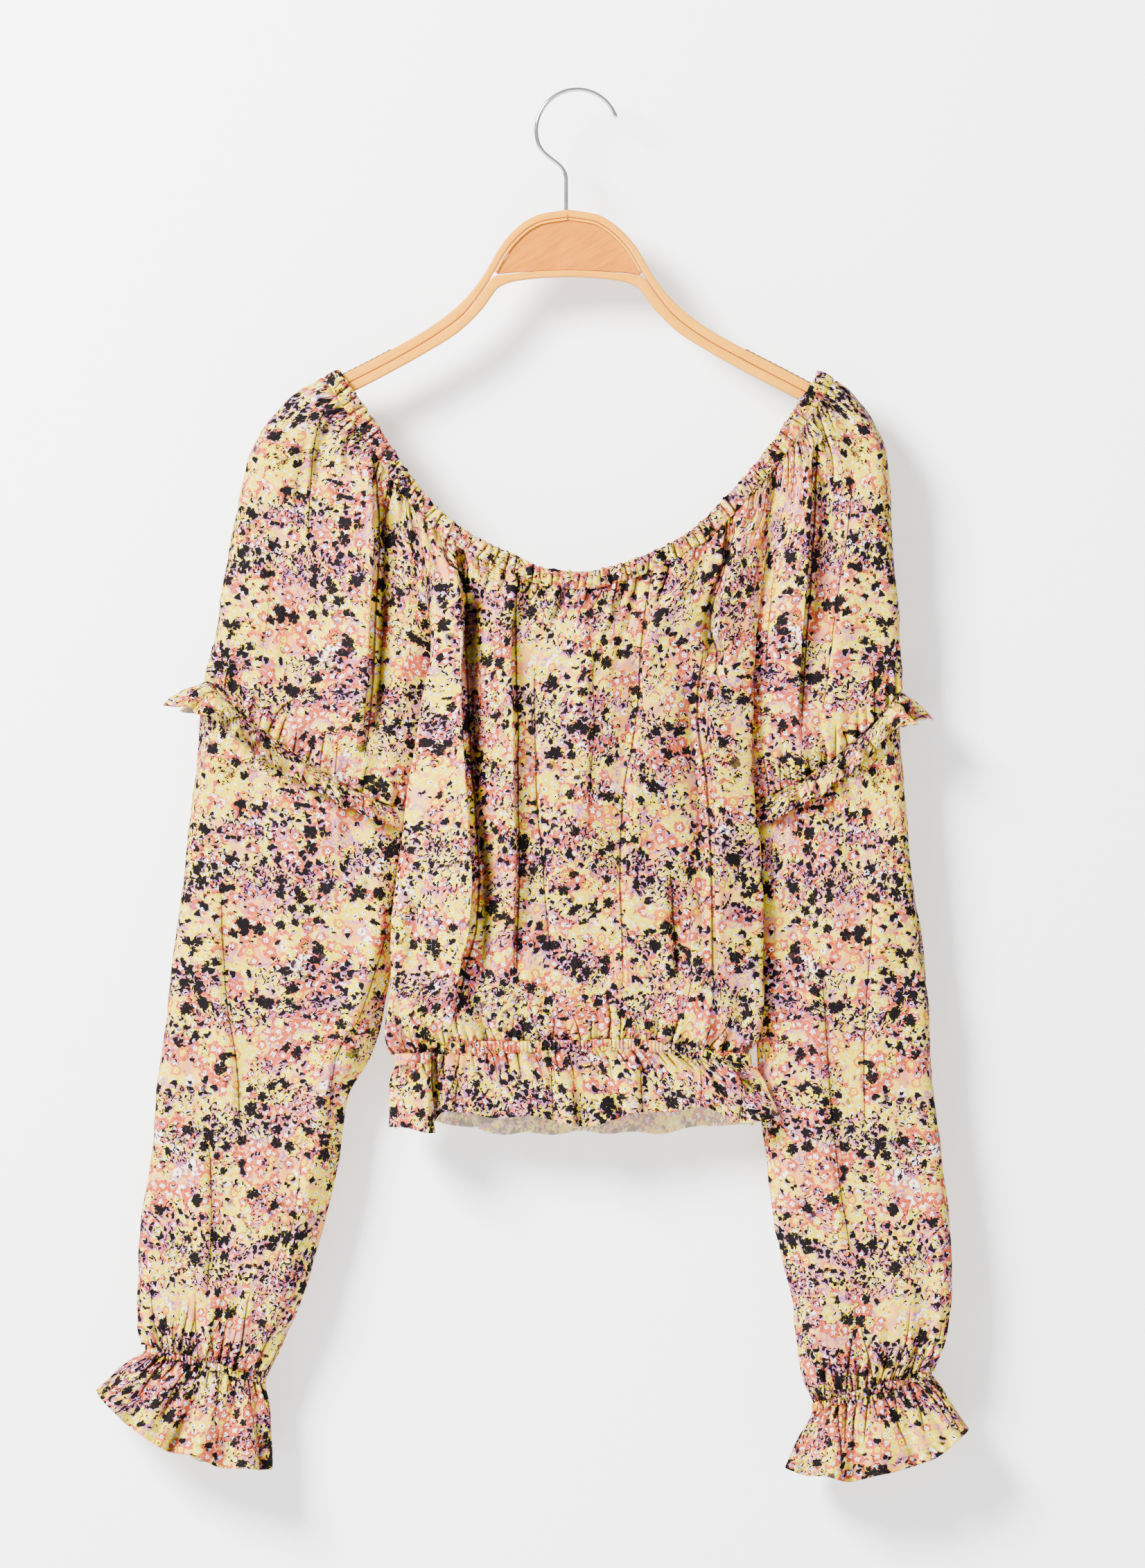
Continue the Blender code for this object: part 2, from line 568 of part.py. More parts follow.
def distance_down(points, first=True):
    """How far each row lies from the first, or the last, measured down its own column."""
    steps = np.linalg.norm(np.diff(points, axis=0), axis=-1)
    run = np.concatenate([np.zeros((1, points.shape[1])), np.cumsum(steps, axis=0)])
    return run if first else run[-1] - run


def material(name):
    """One finish for each kind of piece."""
    made = bpy.data.materials.get(name) or bpy.data.materials.new(name)
    made.use_nodes = True
    shader = made.node_tree.nodes["Principled BSDF"]
    shader.inputs["Base Color"].default_value = COLOURS[name]
    shader.inputs["Metallic"].default_value = 1.0 if name == "chrome_wire" else 0.0
    shader.inputs["Roughness"].default_value = 0.15 if name == "chrome_wire" else 0.7
    return made


def put(obj, material_name):
    """Give an object its own copy of a finish and a place in the collection."""
    own = material(material_name).copy()
    own.name = obj.name + "_" + material_name
    obj.data.materials.append(own)
    bpy.data.collections[COLLECTION].objects.link(obj)
    return obj


def sheet(name, points, ring=False):
    """A cloth wall on a grid of points: faces between rows and columns, then Solidify."""
    height, width = points.shape[:2]
    index = np.arange(height * width).reshape(height, width)
    beside = np.roll(index, -1, axis=1) if ring else index[:, 1:]
    here = index if ring else index[:, :-1]
    quads = np.stack([here[:-1], here[1:], beside[1:], beside[:-1]], axis=-1).reshape(-1, 4)
    flat = points.reshape(-1, 3)
    corners = flat[quads]
    normals = np.cross(corners[:, 2] - corners[:, 0], corners[:, 3] - corners[:, 1])
    middle = 0.5 * (points[..., 1].min() + points[..., 1].max()) if ring else 0.0
    if np.sum(normals[:, 1] * (corners[..., 1].mean(axis=1) - middle)) < 0:
        quads = quads[:, ::-1]
    mesh = bpy.data.meshes.new(name)
    mesh.from_pydata((flat * MM).tolist(), [], quads.tolist())
    mesh.shade_smooth()
    obj = bpy.data.objects.new(name, mesh)
    wall = obj.modifiers.new("wall", "SOLIDIFY")
    wall.thickness = WALL * MM
    wall.offset = 0.0
    return put(obj, "print_cloth")


def rows_of(count, ends=1.6):
    """Row values from 0 to 1, closer together near both ends."""
    t = np.linspace(-1, 1, count + 1)
    return 0.5 + 0.5 * np.sign(t) * (1 - (1 - np.abs(t)) ** ends)


def gather_rise(distance):
    """Height of a gather at a distance from its elastic: nothing on it, then high, then fading."""
    return GATHER_SWELL * (1 - np.exp(-distance / GATHER_START)) * np.exp(-distance / GATHER_REACH)


def panel_waves(points, side, name, at_top=True, at_bottom=True):
    """Gathers that run out of the elastic above and the elastic below a panel."""
    count, height = GATHERS[name]
    phase = np.linspace(0, 1, points.shape[1])[None, :]
    edge = np.sin(np.pi * np.clip(phase * 12, 0, 0.5)) * np.sin(np.pi * np.clip((1 - phase) * 12, 0, 0.5))
    rise = 0.0
    if at_top:
        rise = rise + gather_rise(distance_down(points))
    if at_bottom:
        rise = rise + gather_rise(distance_down(points, False))
    return wave_out(points, side, height * edge * rise * ripple(phase, count))


def make_body_panels():
    """Front and back, from the casing's seam to the waist band."""
    for name, side, count, rows in (("blouse_front", FRONT, 68, 9), ("blouse_back", BACK, 46, 8)):
        points = body_panel(side, neck_seam_drop, waist_top, rows_of(rows), body_columns(count, 4))
        points = panel_waves(points, side, name)
        points = fold(points, side, BODY_FOLDS)
        for first, which in ((True, "left"), (False, "right")):
            edge_drop = -points[:, 0 if first else -1, 2]
            pull(points, mitre(which, edge_drop, side, SIDE_MITRE), first, rows=False)
        pull(points, 0.5 * SEAM_GAP + GATHER_EDGE, True)
        pull(points, 0.5 * SEAM_GAP + GATHER_EDGE, False)
        sheet(name, points)


def ring_of_body(top, bottom, rows, columns_front, columns_back):
    """A closed loop of the body's front and back between two lines."""
    front = body_panel(FRONT, top, bottom, rows, columns_front)
    back = body_panel(BACK, top, bottom, rows, columns_back)
    return np.concatenate([front, back[:, -2:0:-1]], axis=1), front.shape[1]


def make_waist_band():
    """The shirred elastic at the waist, one closed loop."""
    points, front_count = ring_of_body(waist_top, waist_bottom, (0, 1),
                                       body_columns(56, 4), body_columns(42, 4))
    sign = np.where(np.arange(points.shape[1]) < front_count, FRONT, BACK)
    count, height = GATHERS["waist_band"]
    phase = np.arange(points.shape[1]) / points.shape[1]
    points = wave_out(points, sign, height * ripple(phase, count))
    pull(points, 0.5 * SEAM_GAP, True)
    pull(points, 0.5 * SEAM_GAP, False)
    sheet("waist_band", points, ring=True)


def make_hem_frills():
    """Front and back of the frill below the waist, waved more towards its hem."""
    for name, side, count in (("hem_frill_front", FRONT, 56), ("hem_frill_back", BACK, 44)):
        points = body_panel(side, waist_bottom, hem(side), FRILL_ROWS, body_columns(count, 4))
        waves, height = GATHERS[name]
        phase = np.linspace(0, 1, points.shape[1])[None, :]
        edge = np.sin(np.pi * phase) ** 0.5
        wave_out(points, side, height * FRILL_GROWTH * edge * ripple(phase, waves))
        pull(points, 0.5 * SEAM_GAP, True)
        pull(points, 0.5 * SEAM_GAP + FRILL_SIDE_CLEAR, True, rows=False)
        pull(points, 0.5 * SEAM_GAP + FRILL_SIDE_CLEAR, False, rows=False)
        sheet(name, points)


def make_neck_casing():
    """The gathered casing: one loop of the neckline, front and back, over both shoulders."""
    count, height = GATHERS["neck_casing"]
    turn = NECK_ROUND * (1 - np.sin(np.linspace(np.pi / 2, 0, 5)) ** 0.77) * EDGE_RUN
    low = NECK_EDGE[1][0][0] + turn
    high = NECK_EDGE[1][-1][0] - turn
    x = np.concatenate([low, np.linspace(low[-1], high[-1], 73)[1:-1], high[::-1]])
    half = len(x) - 1
    drop = neck_edge(x)
    seam_x, seam_drop = neck_seam(x)
    loops = []
    for side in (FRONT, BACK):
        edge_depth = neck_depth(x - x[0] + seam_x[0], drop - drop[0] + seam_drop[0], side)
        far = neck_depth(x - x[-1] + seam_x[-1], drop - drop[-1] + seam_drop[-1], side)
        edge_depth = np.where(x < 0, edge_depth, far)
        top = np.stack([x, edge_depth, -drop], axis=-1)
        low = np.stack([seam_x, neck_depth(seam_x, seam_drop, side), -seam_drop], axis=-1)
        rows = [blend(top, low, t) for t in (0.0, 1.0)]
        loops.append(np.stack(rows))
    points = np.concatenate([loops[0], loops[1][:, -2:0:-1]], axis=1)
    sign = np.where(np.arange(points.shape[1]) <= half, FRONT, BACK)
    phase = np.arange(points.shape[1]) / points.shape[1]
    flat = np.clip(np.abs(points[..., 1]) / NECK_HALF_DEPTH, 0, 1) ** 3
    wave_out(points, sign, height * ripple(phase, count) * flat * np.array([[1.0], [0.5]]))
    pull(points, 0.5 * SEAM_GAP, False)
    sheet("neck_casing", points, ring=True)


def make_sleeves():
    """Both sleeves, each with its ruffle, wrist band and cuff frill."""
    for which in ("left", "right"):
        places = sleeve_columns(12, 4)
        sign = places[2]
        phase = np.linspace(0, 1, len(sign))[None, :]
        points = upper_sleeve(which, rows_of(8, 1.3), places)
        count, height = GATHERS["sleeve_upper"]
        flat = np.cos(places[1]) * np.sin(0.5 * np.pi * np.clip(places[0] * 6, 0, 1))
        rise = gather_rise(distance_down(points)) + gather_rise(distance_down(points, False))
        wave_out(points, sign, height * flat * rise * ripple(phase, count))
        fold(points, sign, SLEEVE_FOLDS[which])
        for side, first in ((FRONT, True), (BACK, False)):
            pull(points, mitre(which, -points[:, 0, 2], side, SLEEVE_MITRE), first, rows=False)
        pull(points, 0.5 * SEAM_GAP + GATHER_EDGE, True)
        pull(points, 0.5 * SEAM_GAP + GATHER_EDGE, False)
        sheet("sleeve_upper_" + which, points)

        ring = slice(0, -1)
        points = lower_sleeve(which, rows_of(9, 1.2), places)[:, ring]
        count, height = GATHERS["sleeve_lower"]
        rise = gather_rise(distance_down(points)) + gather_rise(distance_down(points, False))
        flat = flat[ring]
        wave_out(points, sign[ring], height * flat * rise * ripple(phase[:, ring], count))
        fold(points, sign[ring], SLEEVE_FOLDS[which])
        pull(points, 0.5 * SEAM_GAP + GATHER_EDGE, True)
        pull(points, 0.5 * SEAM_GAP + GATHER_EDGE, False)
        sheet("sleeve_lower_" + which, points, ring=True)
        make_ruffle(which)
        make_cuff(which)


def make_ruffle(which):
    """A waved strip round the sleeve, standing off the lower sleeve below the gathered line."""
    places = tuple(part[:-1] for part in sleeve_columns(20, 8))
    share, angle = places[:2]
    reach = np.array([0.0, 0.5, 1.0])
    base = lower_sleeve(which, RUFFLE_START + RUFFLE_REACH * reach, places)
    down = base[-1] - base[0]
    around = np.roll(base[0], -1, axis=0) - np.roll(base[0], 1, axis=0)
    out = np.cross(around, down)
    out /= np.linalg.norm(out, axis=-1, keepdims=True)
    out *= np.sign(np.sum(out * (base[0] - base[0].mean(axis=0)), axis=-1).mean())
    count, height = GATHERS["sleeve_ruffle"]
    phase = np.arange(len(share)) / len(share)
    free = smoothstep(share * 5)
    tip = np.exp(-((angle - np.pi / 2) / 0.9) ** 2) * (angle > 0)
    t = reach[:, None]
    stand = RUFFLE_STAND + RUFFLE_CLEAR * smoothstep(t / 0.5) * blend(0.25, 1.0, free)
    stand = stand + (RUFFLE_FLARE * free + RUFFLE_TIP * tip + height * free * ripple(phase, count)) * t
    sheet("sleeve_ruffle_" + which, base + out * stand[..., None], ring=True)


def make_cuff(which):
    """The shirred band at the wrist and the frill below it."""
    places = sleeve_columns(16, 5)
    sign = places[2][:-1]
    phase = np.arange(len(sign)) / len(sign)
    wrist = lower_sleeve(which, (1.0,), places)[0, :-1]
    count, height = GATHERS["cuff_band"]
    rows = []
    for t in (0.0, 1.0):
        row = wrist.copy()
        row[:, 2] -= CUFF_BAND_HEIGHT * t
        row[:, 1] += sign * height * ripple(phase, count)
        rows.append(row)
    points = np.stack(rows)
    pull(points, 0.5 * SEAM_GAP, True)
    pull(points, 0.5 * SEAM_GAP, False)
    sheet("cuff_band_" + which, points, ring=True)

    places = sleeve_columns(22, 6)
    sign = places[2][:-1]
    phase = np.arange(len(sign)) / len(sign)
    count, height = GATHERS["cuff_frill"]
    points = cuff_frill(which, FRILL_ROWS, places)[:, :-1]
    flat = np.cos(places[1][:-1]) * np.sin(0.5 * np.pi * np.clip(places[0][:-1] * 5, 0, 1))
    wave_out(points, sign, height * FRILL_GROWTH * flat * ripple(phase, count))
    pull(points, 0.5 * SEAM_GAP + FRILL_TOP_CLEAR, True)
    sheet("cuff_frill_" + which, points, ring=True)


def bow_edge(away, which, below=0.0):
    """A point of the bow's top edge, or so far square below it."""
    sign = -1 if which == "left" else 1
    name = "top_" + which
    step = 0.5
    drop = read(BOW, "from_middle", name, away)
    slope = (read(BOW, "from_middle", name, away + step) - drop) / step
    size = np.hypot(1, slope)
    return BOW_MIDDLE + sign * (away - below * slope / size), drop + below / size


def flat_piece(name, splines, thickness, material_name):
    """A flat outline in the XZ plane, extruded to both sides of y = 0."""
    data = bpy.data.curves.new(name, "CURVE")
    data.dimensions = "2D"
    data.fill_mode = "BOTH"
    data.extrude = 0.5 * thickness * MM
    for outline in splines:
        spline = data.splines.new("POLY")
        spline.points.add(len(outline) - 1)
        for point, (x, drop) in zip(spline.points, outline):
            point.co = (x * MM, -drop * MM, 0, 1)
        spline.use_cyclic_u = True
    obj = bpy.data.objects.new(name, data)
    obj.rotation_euler = (math.pi / 2, 0, 0)
    return put(obj, material_name)


def bow_outlines():
    """The bow's outer outline and the half-moon window that the panel fills."""
    away = np.concatenate([np.linspace(0, 100, 26), np.linspace(112, BOW_END, 7)])
    outline = []
    for which, sign in (("left", -1), ("right", 1)):
        top = read(BOW, "from_middle", "top_" + which, away)
        low = read(BOW, "from_middle", "bottom", away)
        half = 0.5 * (low[-1] - top[-1])
        turn = np.radians([60, 30, 0, -30, -60])
        end_x = BOW_END + 0.9 * half * np.cos(turn)
        end_drop = top[-1] + half - half * np.sin(turn) + 0.45 * half * np.cos(turn)
        x = np.concatenate([away, end_x, away[:0:-1]])
        drop = np.concatenate([top, end_drop, low[:0:-1]])
        points = list(zip(BOW_MIDDLE + sign * x, drop))
        bottom_middle = [(BOW_MIDDLE, low[0])]
        outline += points[::-1] if sign < 0 else points[1:] + bottom_middle
    return [outline, panel_outline(0.0)]


def panel_outline(inset):
    """The half moon: an arch square below the bow's top edge, closed by a shallow curve."""
    away = np.linspace(0, PANEL_ARCH_REACH - 2 * inset, 13)
    left = np.stack(bow_edge(away, "left", PANEL_BELOW_TOP + inset), axis=-1)
    right = np.stack(bow_edge(away, "right", PANEL_BELOW_TOP + inset), axis=-1)
    half = right[-1, 0] - BOW_MIDDLE
    base = np.linspace(half, left[-1, 0] - BOW_MIDDLE, 13)[1:-1]
    droop = blend(PANEL_BOTTOM, 0.5 * (right[-1, 1] + left[-1, 1]), (base / half) ** 2) - inset
    arch = np.concatenate([left[::-1], right[1:]])
    return arch.tolist() + list(zip(BOW_MIDDLE + base, droop))


def make_hanger():
    """The bow with its window, the panel in it, the grips on its arms and the hook."""
    bow = flat_piece("hanger_bow", bow_outlines(), BOW_THICKNESS, "bent_wood")
    flat_piece("hanger_panel", [panel_outline(SEAM_GAP)], PANEL_THICKNESS, "plywood")
    for which in ("left", "right"):
        make_grip(which)
    make_hook()
    drill_bow(bow)


def make_grip(which):
    """A ribbed strip that lies along the top of an arm."""
    teeth = int((GRIP_END - GRIP_START) / GRIP_PITCH)
    low = []
    high = []
    for tooth in range(teeth):
        start = GRIP_START + tooth * GRIP_PITCH
        for share, lift in ((0.0, 0.45), (0.25, 1.0), (0.5, 1.0), (0.75, 0.45)):
            away = start + share * GRIP_PITCH
            high.append(bow_edge(away, which, -SEAM_GAP - GRIP_HEIGHT * lift))
            if share == 0.0:
                low.append(bow_edge(away, which, -SEAM_GAP))
    low.append(bow_edge(GRIP_START + (teeth - 0.25) * GRIP_PITCH, which, -SEAM_GAP))
    outline = [(float(x), float(d)) for x, d in high + low[::-1]]
    flat_piece("hanger_grip_" + which, [outline], GRIP_WIDTH, "grip_rubber")


def hook_points():
    """The stem, a bend to the left, and an arc round the rail, read from a smooth curve."""
    centre_drop = HOOK_RADIUS - WIRE_RADIUS
    angles = np.radians(np.linspace(HOOK_START_ANGLE, HOOK_END_ANGLE, 21))
    arc = np.stack([HOOK_RADIUS * np.cos(angles), centre_drop - HOOK_RADIUS * np.sin(angles)], axis=-1)
    foot = np.array([[HOOK_STEM_X, HOOK_STEM_FOOT]])
    t = np.linspace(0, 1, 9)[:, None]
    start = np.array([HOOK_STEM_X, HOOK_STEM_TOP])
    end = arc[0]
    swing = (1 - t) ** 3 * start + 3 * (1 - t) ** 2 * t * (start - (0, HOOK_BEND_PULL))
    swing = swing + 3 * (1 - t) * t ** 2 * (end + (HOOK_BEND_SHIFT, HOOK_BEND_PULL)) + t ** 3 * end
    return np.concatenate([foot, swing, arc[1:]])


def make_hook():
    """The hook's wire as one bevelled curve with filled ends."""
    data = bpy.data.curves.new("hanger_hook", "CURVE")
    data.dimensions = "3D"
    data.bevel_depth = WIRE_RADIUS * MM
    data.bevel_resolution = 2
    data.use_fill_caps = True
    points = hook_points()
    spline = data.splines.new("POLY")
    spline.points.add(len(points) - 1)
    for point, (x, drop) in zip(spline.points, points):
        point.co = (x * MM, 0, -drop * MM, 1)
    put(bpy.data.objects.new("hanger_hook", data), "chrome_wire")


def drill_bow(bow):
    """Bore the hole that the hook's stem sits in."""
    depsgraph = bpy.context.evaluated_depsgraph_get()
    mesh = bpy.data.meshes.new_from_object(bow.evaluated_get(depsgraph))
    shape = bmesh.new()
    shape.from_mesh(mesh)
    bmesh.ops.remove_doubles(shape, verts=shape.verts, dist=1e-6)
    shape.to_mesh(mesh)
    shape.free()
    solid = bpy.data.objects.new("bow_solid", mesh)
    solid.matrix_world = bow.matrix_world
    bpy.data.collections[COLLECTION].objects.link(solid)
    bpy.data.objects.remove(bow)
    solid.name = "hanger_bow"
    radius = (WIRE_RADIUS + SEAM_GAP) * MM
    bpy.ops.mesh.primitive_cylinder_add(vertices=16, radius=radius, depth=2 * HOOK_HOLE_DEPTH * MM,
                                        location=(HOOK_STEM_X * MM, 0, -BOW[1][0][1] * MM))
    cutter = bpy.context.object
    cutter.name = "hook_hole_cutter"
    for holder in list(cutter.users_collection):
        holder.objects.unlink(cutter)
    bpy.data.collections["cutters"].objects.link(cutter)
    cutter.hide_render = True
    cutter.display_type = "WIRE"
    cut = solid.modifiers.new("hook_hole", "BOOLEAN")
    cut.operation = "DIFFERENCE"
    cut.object = cutter


def main():
    for obj in list(bpy.data.objects):
        bpy.data.objects.remove(obj)
    for name in (COLLECTION, "cutters"):
        bpy.context.scene.collection.children.link(bpy.data.collections.new(name))
    make_body_panels()
    make_waist_band()
    make_hem_frills()
    make_neck_casing()
    make_sleeves()
    make_hanger()


main()
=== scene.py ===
"""Long-sleeve printed blouse on a wooden hanger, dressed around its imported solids.

The frame is metres with +Z up and the front facing -Y. Tables are in millimetres, drop is the
distance below the origin at the hook, and left is the side at -X.
"""

import math

import bmesh
import bpy
import numpy as np
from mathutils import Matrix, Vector


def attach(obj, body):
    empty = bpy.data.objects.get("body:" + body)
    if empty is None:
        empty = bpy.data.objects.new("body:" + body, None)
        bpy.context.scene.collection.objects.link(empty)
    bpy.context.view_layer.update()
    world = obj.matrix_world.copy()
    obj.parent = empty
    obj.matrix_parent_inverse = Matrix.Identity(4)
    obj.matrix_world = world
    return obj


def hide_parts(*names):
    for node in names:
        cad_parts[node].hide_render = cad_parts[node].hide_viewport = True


MM = 0.001
THICKNESS = 0.45
FRONT = -1
BACK = 1
FACE = {FRONT: "front", BACK: "back"}
TOP = "top"
FOOT = "foot"


def chart(names, *rows):
    """Named columns of measures. The first column is the one that the others are read along."""
    return dict(zip(names.split(), np.array(rows, dtype=float).T))


# Neckline: a gathered casing round an elastic, which runs over both arms of the hanger
NECK_HALF_DEPTH = 12.5
NECK_ROUND = 10.0
CASING_WIDTH = 12.0
EDGE_RUN = 0.577
NECK_EDGE = chart(
    "x drop",
    (-171.5, 203.5), (-156.5, 225), (-136.5, 255), (-116.5, 284.5), (-96.5, 306.5), (-76.5, 321),
    (-46.5, 335.5), (-20, 346), (5, 348), (30, 342.5), (60, 331), (85, 316), (105, 296.5),
    (125, 274.5), (143.5, 251), (158, 229), (173.5, 205.5),
)
SHOULDER_SLOPE = math.radians(25.5)
SHOULDER_BLEND = 16.0

# Body: left and right are the front's visible fold edges, tuck is how far the side seam lies behind
# them, close runs from 0 at the neckline to 1 at the underarm, front and back are half depths
BODY = chart(
    "drop left right tuck_left tuck_right close_left close_right front back",
    (200, -117, 158, 8, 8, 0, 0, 12.5, 12.5), (262, -117, 150, 8, 8, 0, 0, 12.5, 12.5),
    (304, -116, 146, 8, 8, 0, 0.22, 12.5, 12.5), (325, -113, 142.5, 8, 8, 0.1, 0.34, 12.7, 12.7),
    (346, -111, 139, 8, 8, 0.22, 0.46, 13, 13), (385, -111, 133, 8, 8, 0.62, 0.7, 14.5, 14),
    (412, -112.5, 130, 8, 8, 0.88, 0.88, 15.5, 15), (427, -114, 128, 8, 8, 1, 0.96, 16, 15.5),
    (437, -115.5, 127, 8, 8, 1, 1, 16.5, 15.5), (475, -120.5, 127, 8, 8, 1, 1, 18, 16),
    (512, -125, 129.5, 8, 9, 1, 1, 19, 17), (555, -129, 133, 8, 10, 1, 1, 20, 18),
    (600, -133.5, 134, 8, 10, 1, 1, 20, 18), (650, -136.5, 132, 8, 9, 1, 1, 18, 16),
    (680, -138, 130, 8, 9, 1, 1, 15, 13), (700, -136.5, 127.5, 8, 9, 1, 1, 12.5, 11),
    (715, -137, 134, 8, 12, 1, 1, 14, 12), (745, -139, 144, 8, 18, 1, 1, 17, 14.5),
    (770, -140, 147, 8, 20, 1, 1, 17.5, 15),
)
CORNER_WIDTH = 16.0
CORNER_SWING = 1.7
SETTLE_ROUNDS = 8
WAIST_LINE = chart(
    "x drop",
    (-140, 696), (-120, 695), (-90, 687), (-40, 686.5), (38, 685), (96, 692), (130, 697),
)
BAND_HEIGHT = 7.0
HEM_LINE = chart(
    "x front back",
    (-142, 747, 744), (-109, 754, 748), (-98, 738, 751), (-65, 740, 752), (-18, 745, 754),
    (14, 743, 755), (42, 739, 754), (92, 735, 751), (110, 744, 749), (150, 746, 746),
)

# Sleeves, from the neckline to the wrist: apart is how far the inner edge lies off the body's side
SECTION = ("half_depth", "centre", "round")
UPPER_NAMES = "v seam_drop apart outer_x outer_drop half_depth centre round"
SLEEVE_UPPER = {
    "left": chart(
        UPPER_NAMES,
        (0, 304.2, 0, -182.3, 208.9, 12.5, 0, 10), (0.1, 318, 0, -197.5, 215.4, 12.5, 0, 10),
        (0.22, 335, 0, -218, 234, 13, 0.8, 11), (0.36, 355, 0, -236, 262, 14, 1.8, 13),
        (0.5, 378, 0, -245, 300, 14.5, 2.6, 14), (0.62, 400, 0, -252, 335, 14.5, 3.2, 14),
        (0.72, 418, 0, -256.5, 362, 14, 3.6, 14), (0.79, 430, 0.5, -259.5, 382, 13.5, 4, 13),
        (0.89, 470, 3.5, -262.8, 404, 12.5, 4, 12), (1, 520, 6.5, -266.3, 424, 10.5, 4, 10),
    ),
    "right": chart(
        UPPER_NAMES,
        (0, 262.5, 0, 184.3, 211.4, 12.5, 0, 10), (0.1, 277, 0, 192.5, 216.5, 12.5, 0, 10),
        (0.22, 303, 0, 211, 236.5, 13, 0.8, 11), (0.36, 332, 0, 222, 264, 14, 1.8, 13),
        (0.5, 362, 0, 226.5, 302, 14.5, 2.6, 14), (0.62, 390, 0, 228.5, 340, 14.5, 3.2, 14),
        (0.72, 415, 0, 230.5, 370, 14, 3.6, 14), (0.8, 440, 2.4, 232, 393, 13.5, 4, 13),
        (0.89, 475, 5.6, 232.4, 412, 12.5, 4, 12), (1, 514, 6, 232.8, 432, 10.5, 4, 10),
    ),
}
LOWER_NAMES = "v inner_x inner_drop outer_x outer_drop half_depth centre round"
SLEEVE_LOWER = {
    "left": chart(
        LOWER_NAMES,
        (0, None, None, None, None, 10.5, 4, 10), (0.1, -126.5, 560, -274.5, 482, 13.5, 4.5, 12),
        (0.22, -131, 605, -283, 545, 14.5, 5, 13), (0.36, -139, 660, -291, 618, 14.5, 5, 13),
        (0.46, -150, 697, -297.5, 672, 14, 5, 13), (0.56, -166, 728, -303.5, 722, 14, 5, 13),
        (0.66, -172, 766, -308.5, 768, 14, 5, 13), (0.77, -181.5, 815, -314, 815, 14, 5, 13),
        (0.88, -197, 865, -316, 862, 13, 4.5, 12), (0.95, -212, 903, -315.5, 888, 11.5, 4, 11),
        (1, -222.5, 928, -314, 905, 9.5, 4, 9),
    ),
    "right": chart(
        LOWER_NAMES,
        (0, None, None, None, None, 10.5, 4, 10), (0.1, 129, 560, 235, 488, 12.5, 5.5, 12),
        (0.22, 129.5, 610, 240, 548, 13, 6, 13), (0.34, 129, 665, 247, 605, 13, 6.5, 13),
        (0.45, 130.5, 715, 253, 660, 13, 6.5, 13), (0.55, 134.5, 757, 256.5, 712, 13, 6, 13),
        (0.65, 140, 795, 262, 762, 13.5, 5.5, 13), (0.76, 147, 838, 268.5, 812, 13.5, 5, 13),
        (0.87, 157, 882, 270.5, 855, 13, 4.5, 12), (0.95, 160.5, 922, 267, 893, 11.5, 4, 11),
        (1, 167, 948, 257.5, 923, 9.5, 4, 9),
    ),
}
LINE_SAG = 10.0
SEAM_REACH = 20.0
SQUARED = 0.77
CUFF_BAND_HEIGHT = 6.5
# Inner and outer corner of each cuff's hem, how far it sags, and how the sag leans outwards
CUFF_HEM = {
    "left": ((-223.0, 996.0), (-346.5, 941.0), 17.0, 0.30),
    "right": ((151.5, 995.0), (283.0, 968.0), 19.0, 0.05),
}
CUFF_HEM_HALF_DEPTH = 19.0

# Ruffle above each elbow: a strip sewn in at the line where the upper sleeve is gathered
RUFFLE_STAND = 1.7
RUFFLE_CLEAR = 3.0
RUFFLE_FLARE = 3.5
RUFFLE_TIP = 11.0
RUFFLE_START = 0.005
RUFFLE_REACH = 0.034

# Hanger: top edge of the bow from its middle outwards, with the height of the wood below it
BOW_THICKNESS = 12.0
BOW_MIDDLE = -6.5
BOW = chart(
    "from_middle top_left top_right bottom",
    (0, 85.6, 85.6, 133.9), (20, 88.8, 88.8, 134.8), (30, 93.3, 93.8, 135.8),
    (40, 101.3, 102, 137.4), (50, 113.3, 114, 141.4), (55, 122, 122.6, 147),
    (60, 130.8, 131.2, 154.4), (70, 144.8, 145.2, 165.4), (80, 155.3, 155.6, 174.3),
    (100, 170.5, 171, 187), (130, 188, 187.8, 203.8), (165, 206, 205.9, 221.8),
    (190, 219, 219.6, 234.6),
)
BOW_END = 187.0
PANEL_BELOW_TOP = 7.5
PANEL_ARCH_REACH = 59.0
PANEL_BOTTOM = 129.4
PANEL_GRAIN = math.radians(32)
# Hook: wire bent to a half circle round the rail, with a stem set in the bow
WIRE_RADIUS = 1.5
WIRE_SIDES = 20
HOOK_RADIUS = 29.6
HOOK_STEM_X = -8.0
HOOK_STEM_FOOT = 91.0
HOOK_STEM_TOP = 64.0
HOOK_BEND_PULL = 14.0
HOOK_BEND_SHIFT = 3.5
HOOK_START_ANGLE = 195.0
HOOK_END_ANGLE = 21.0

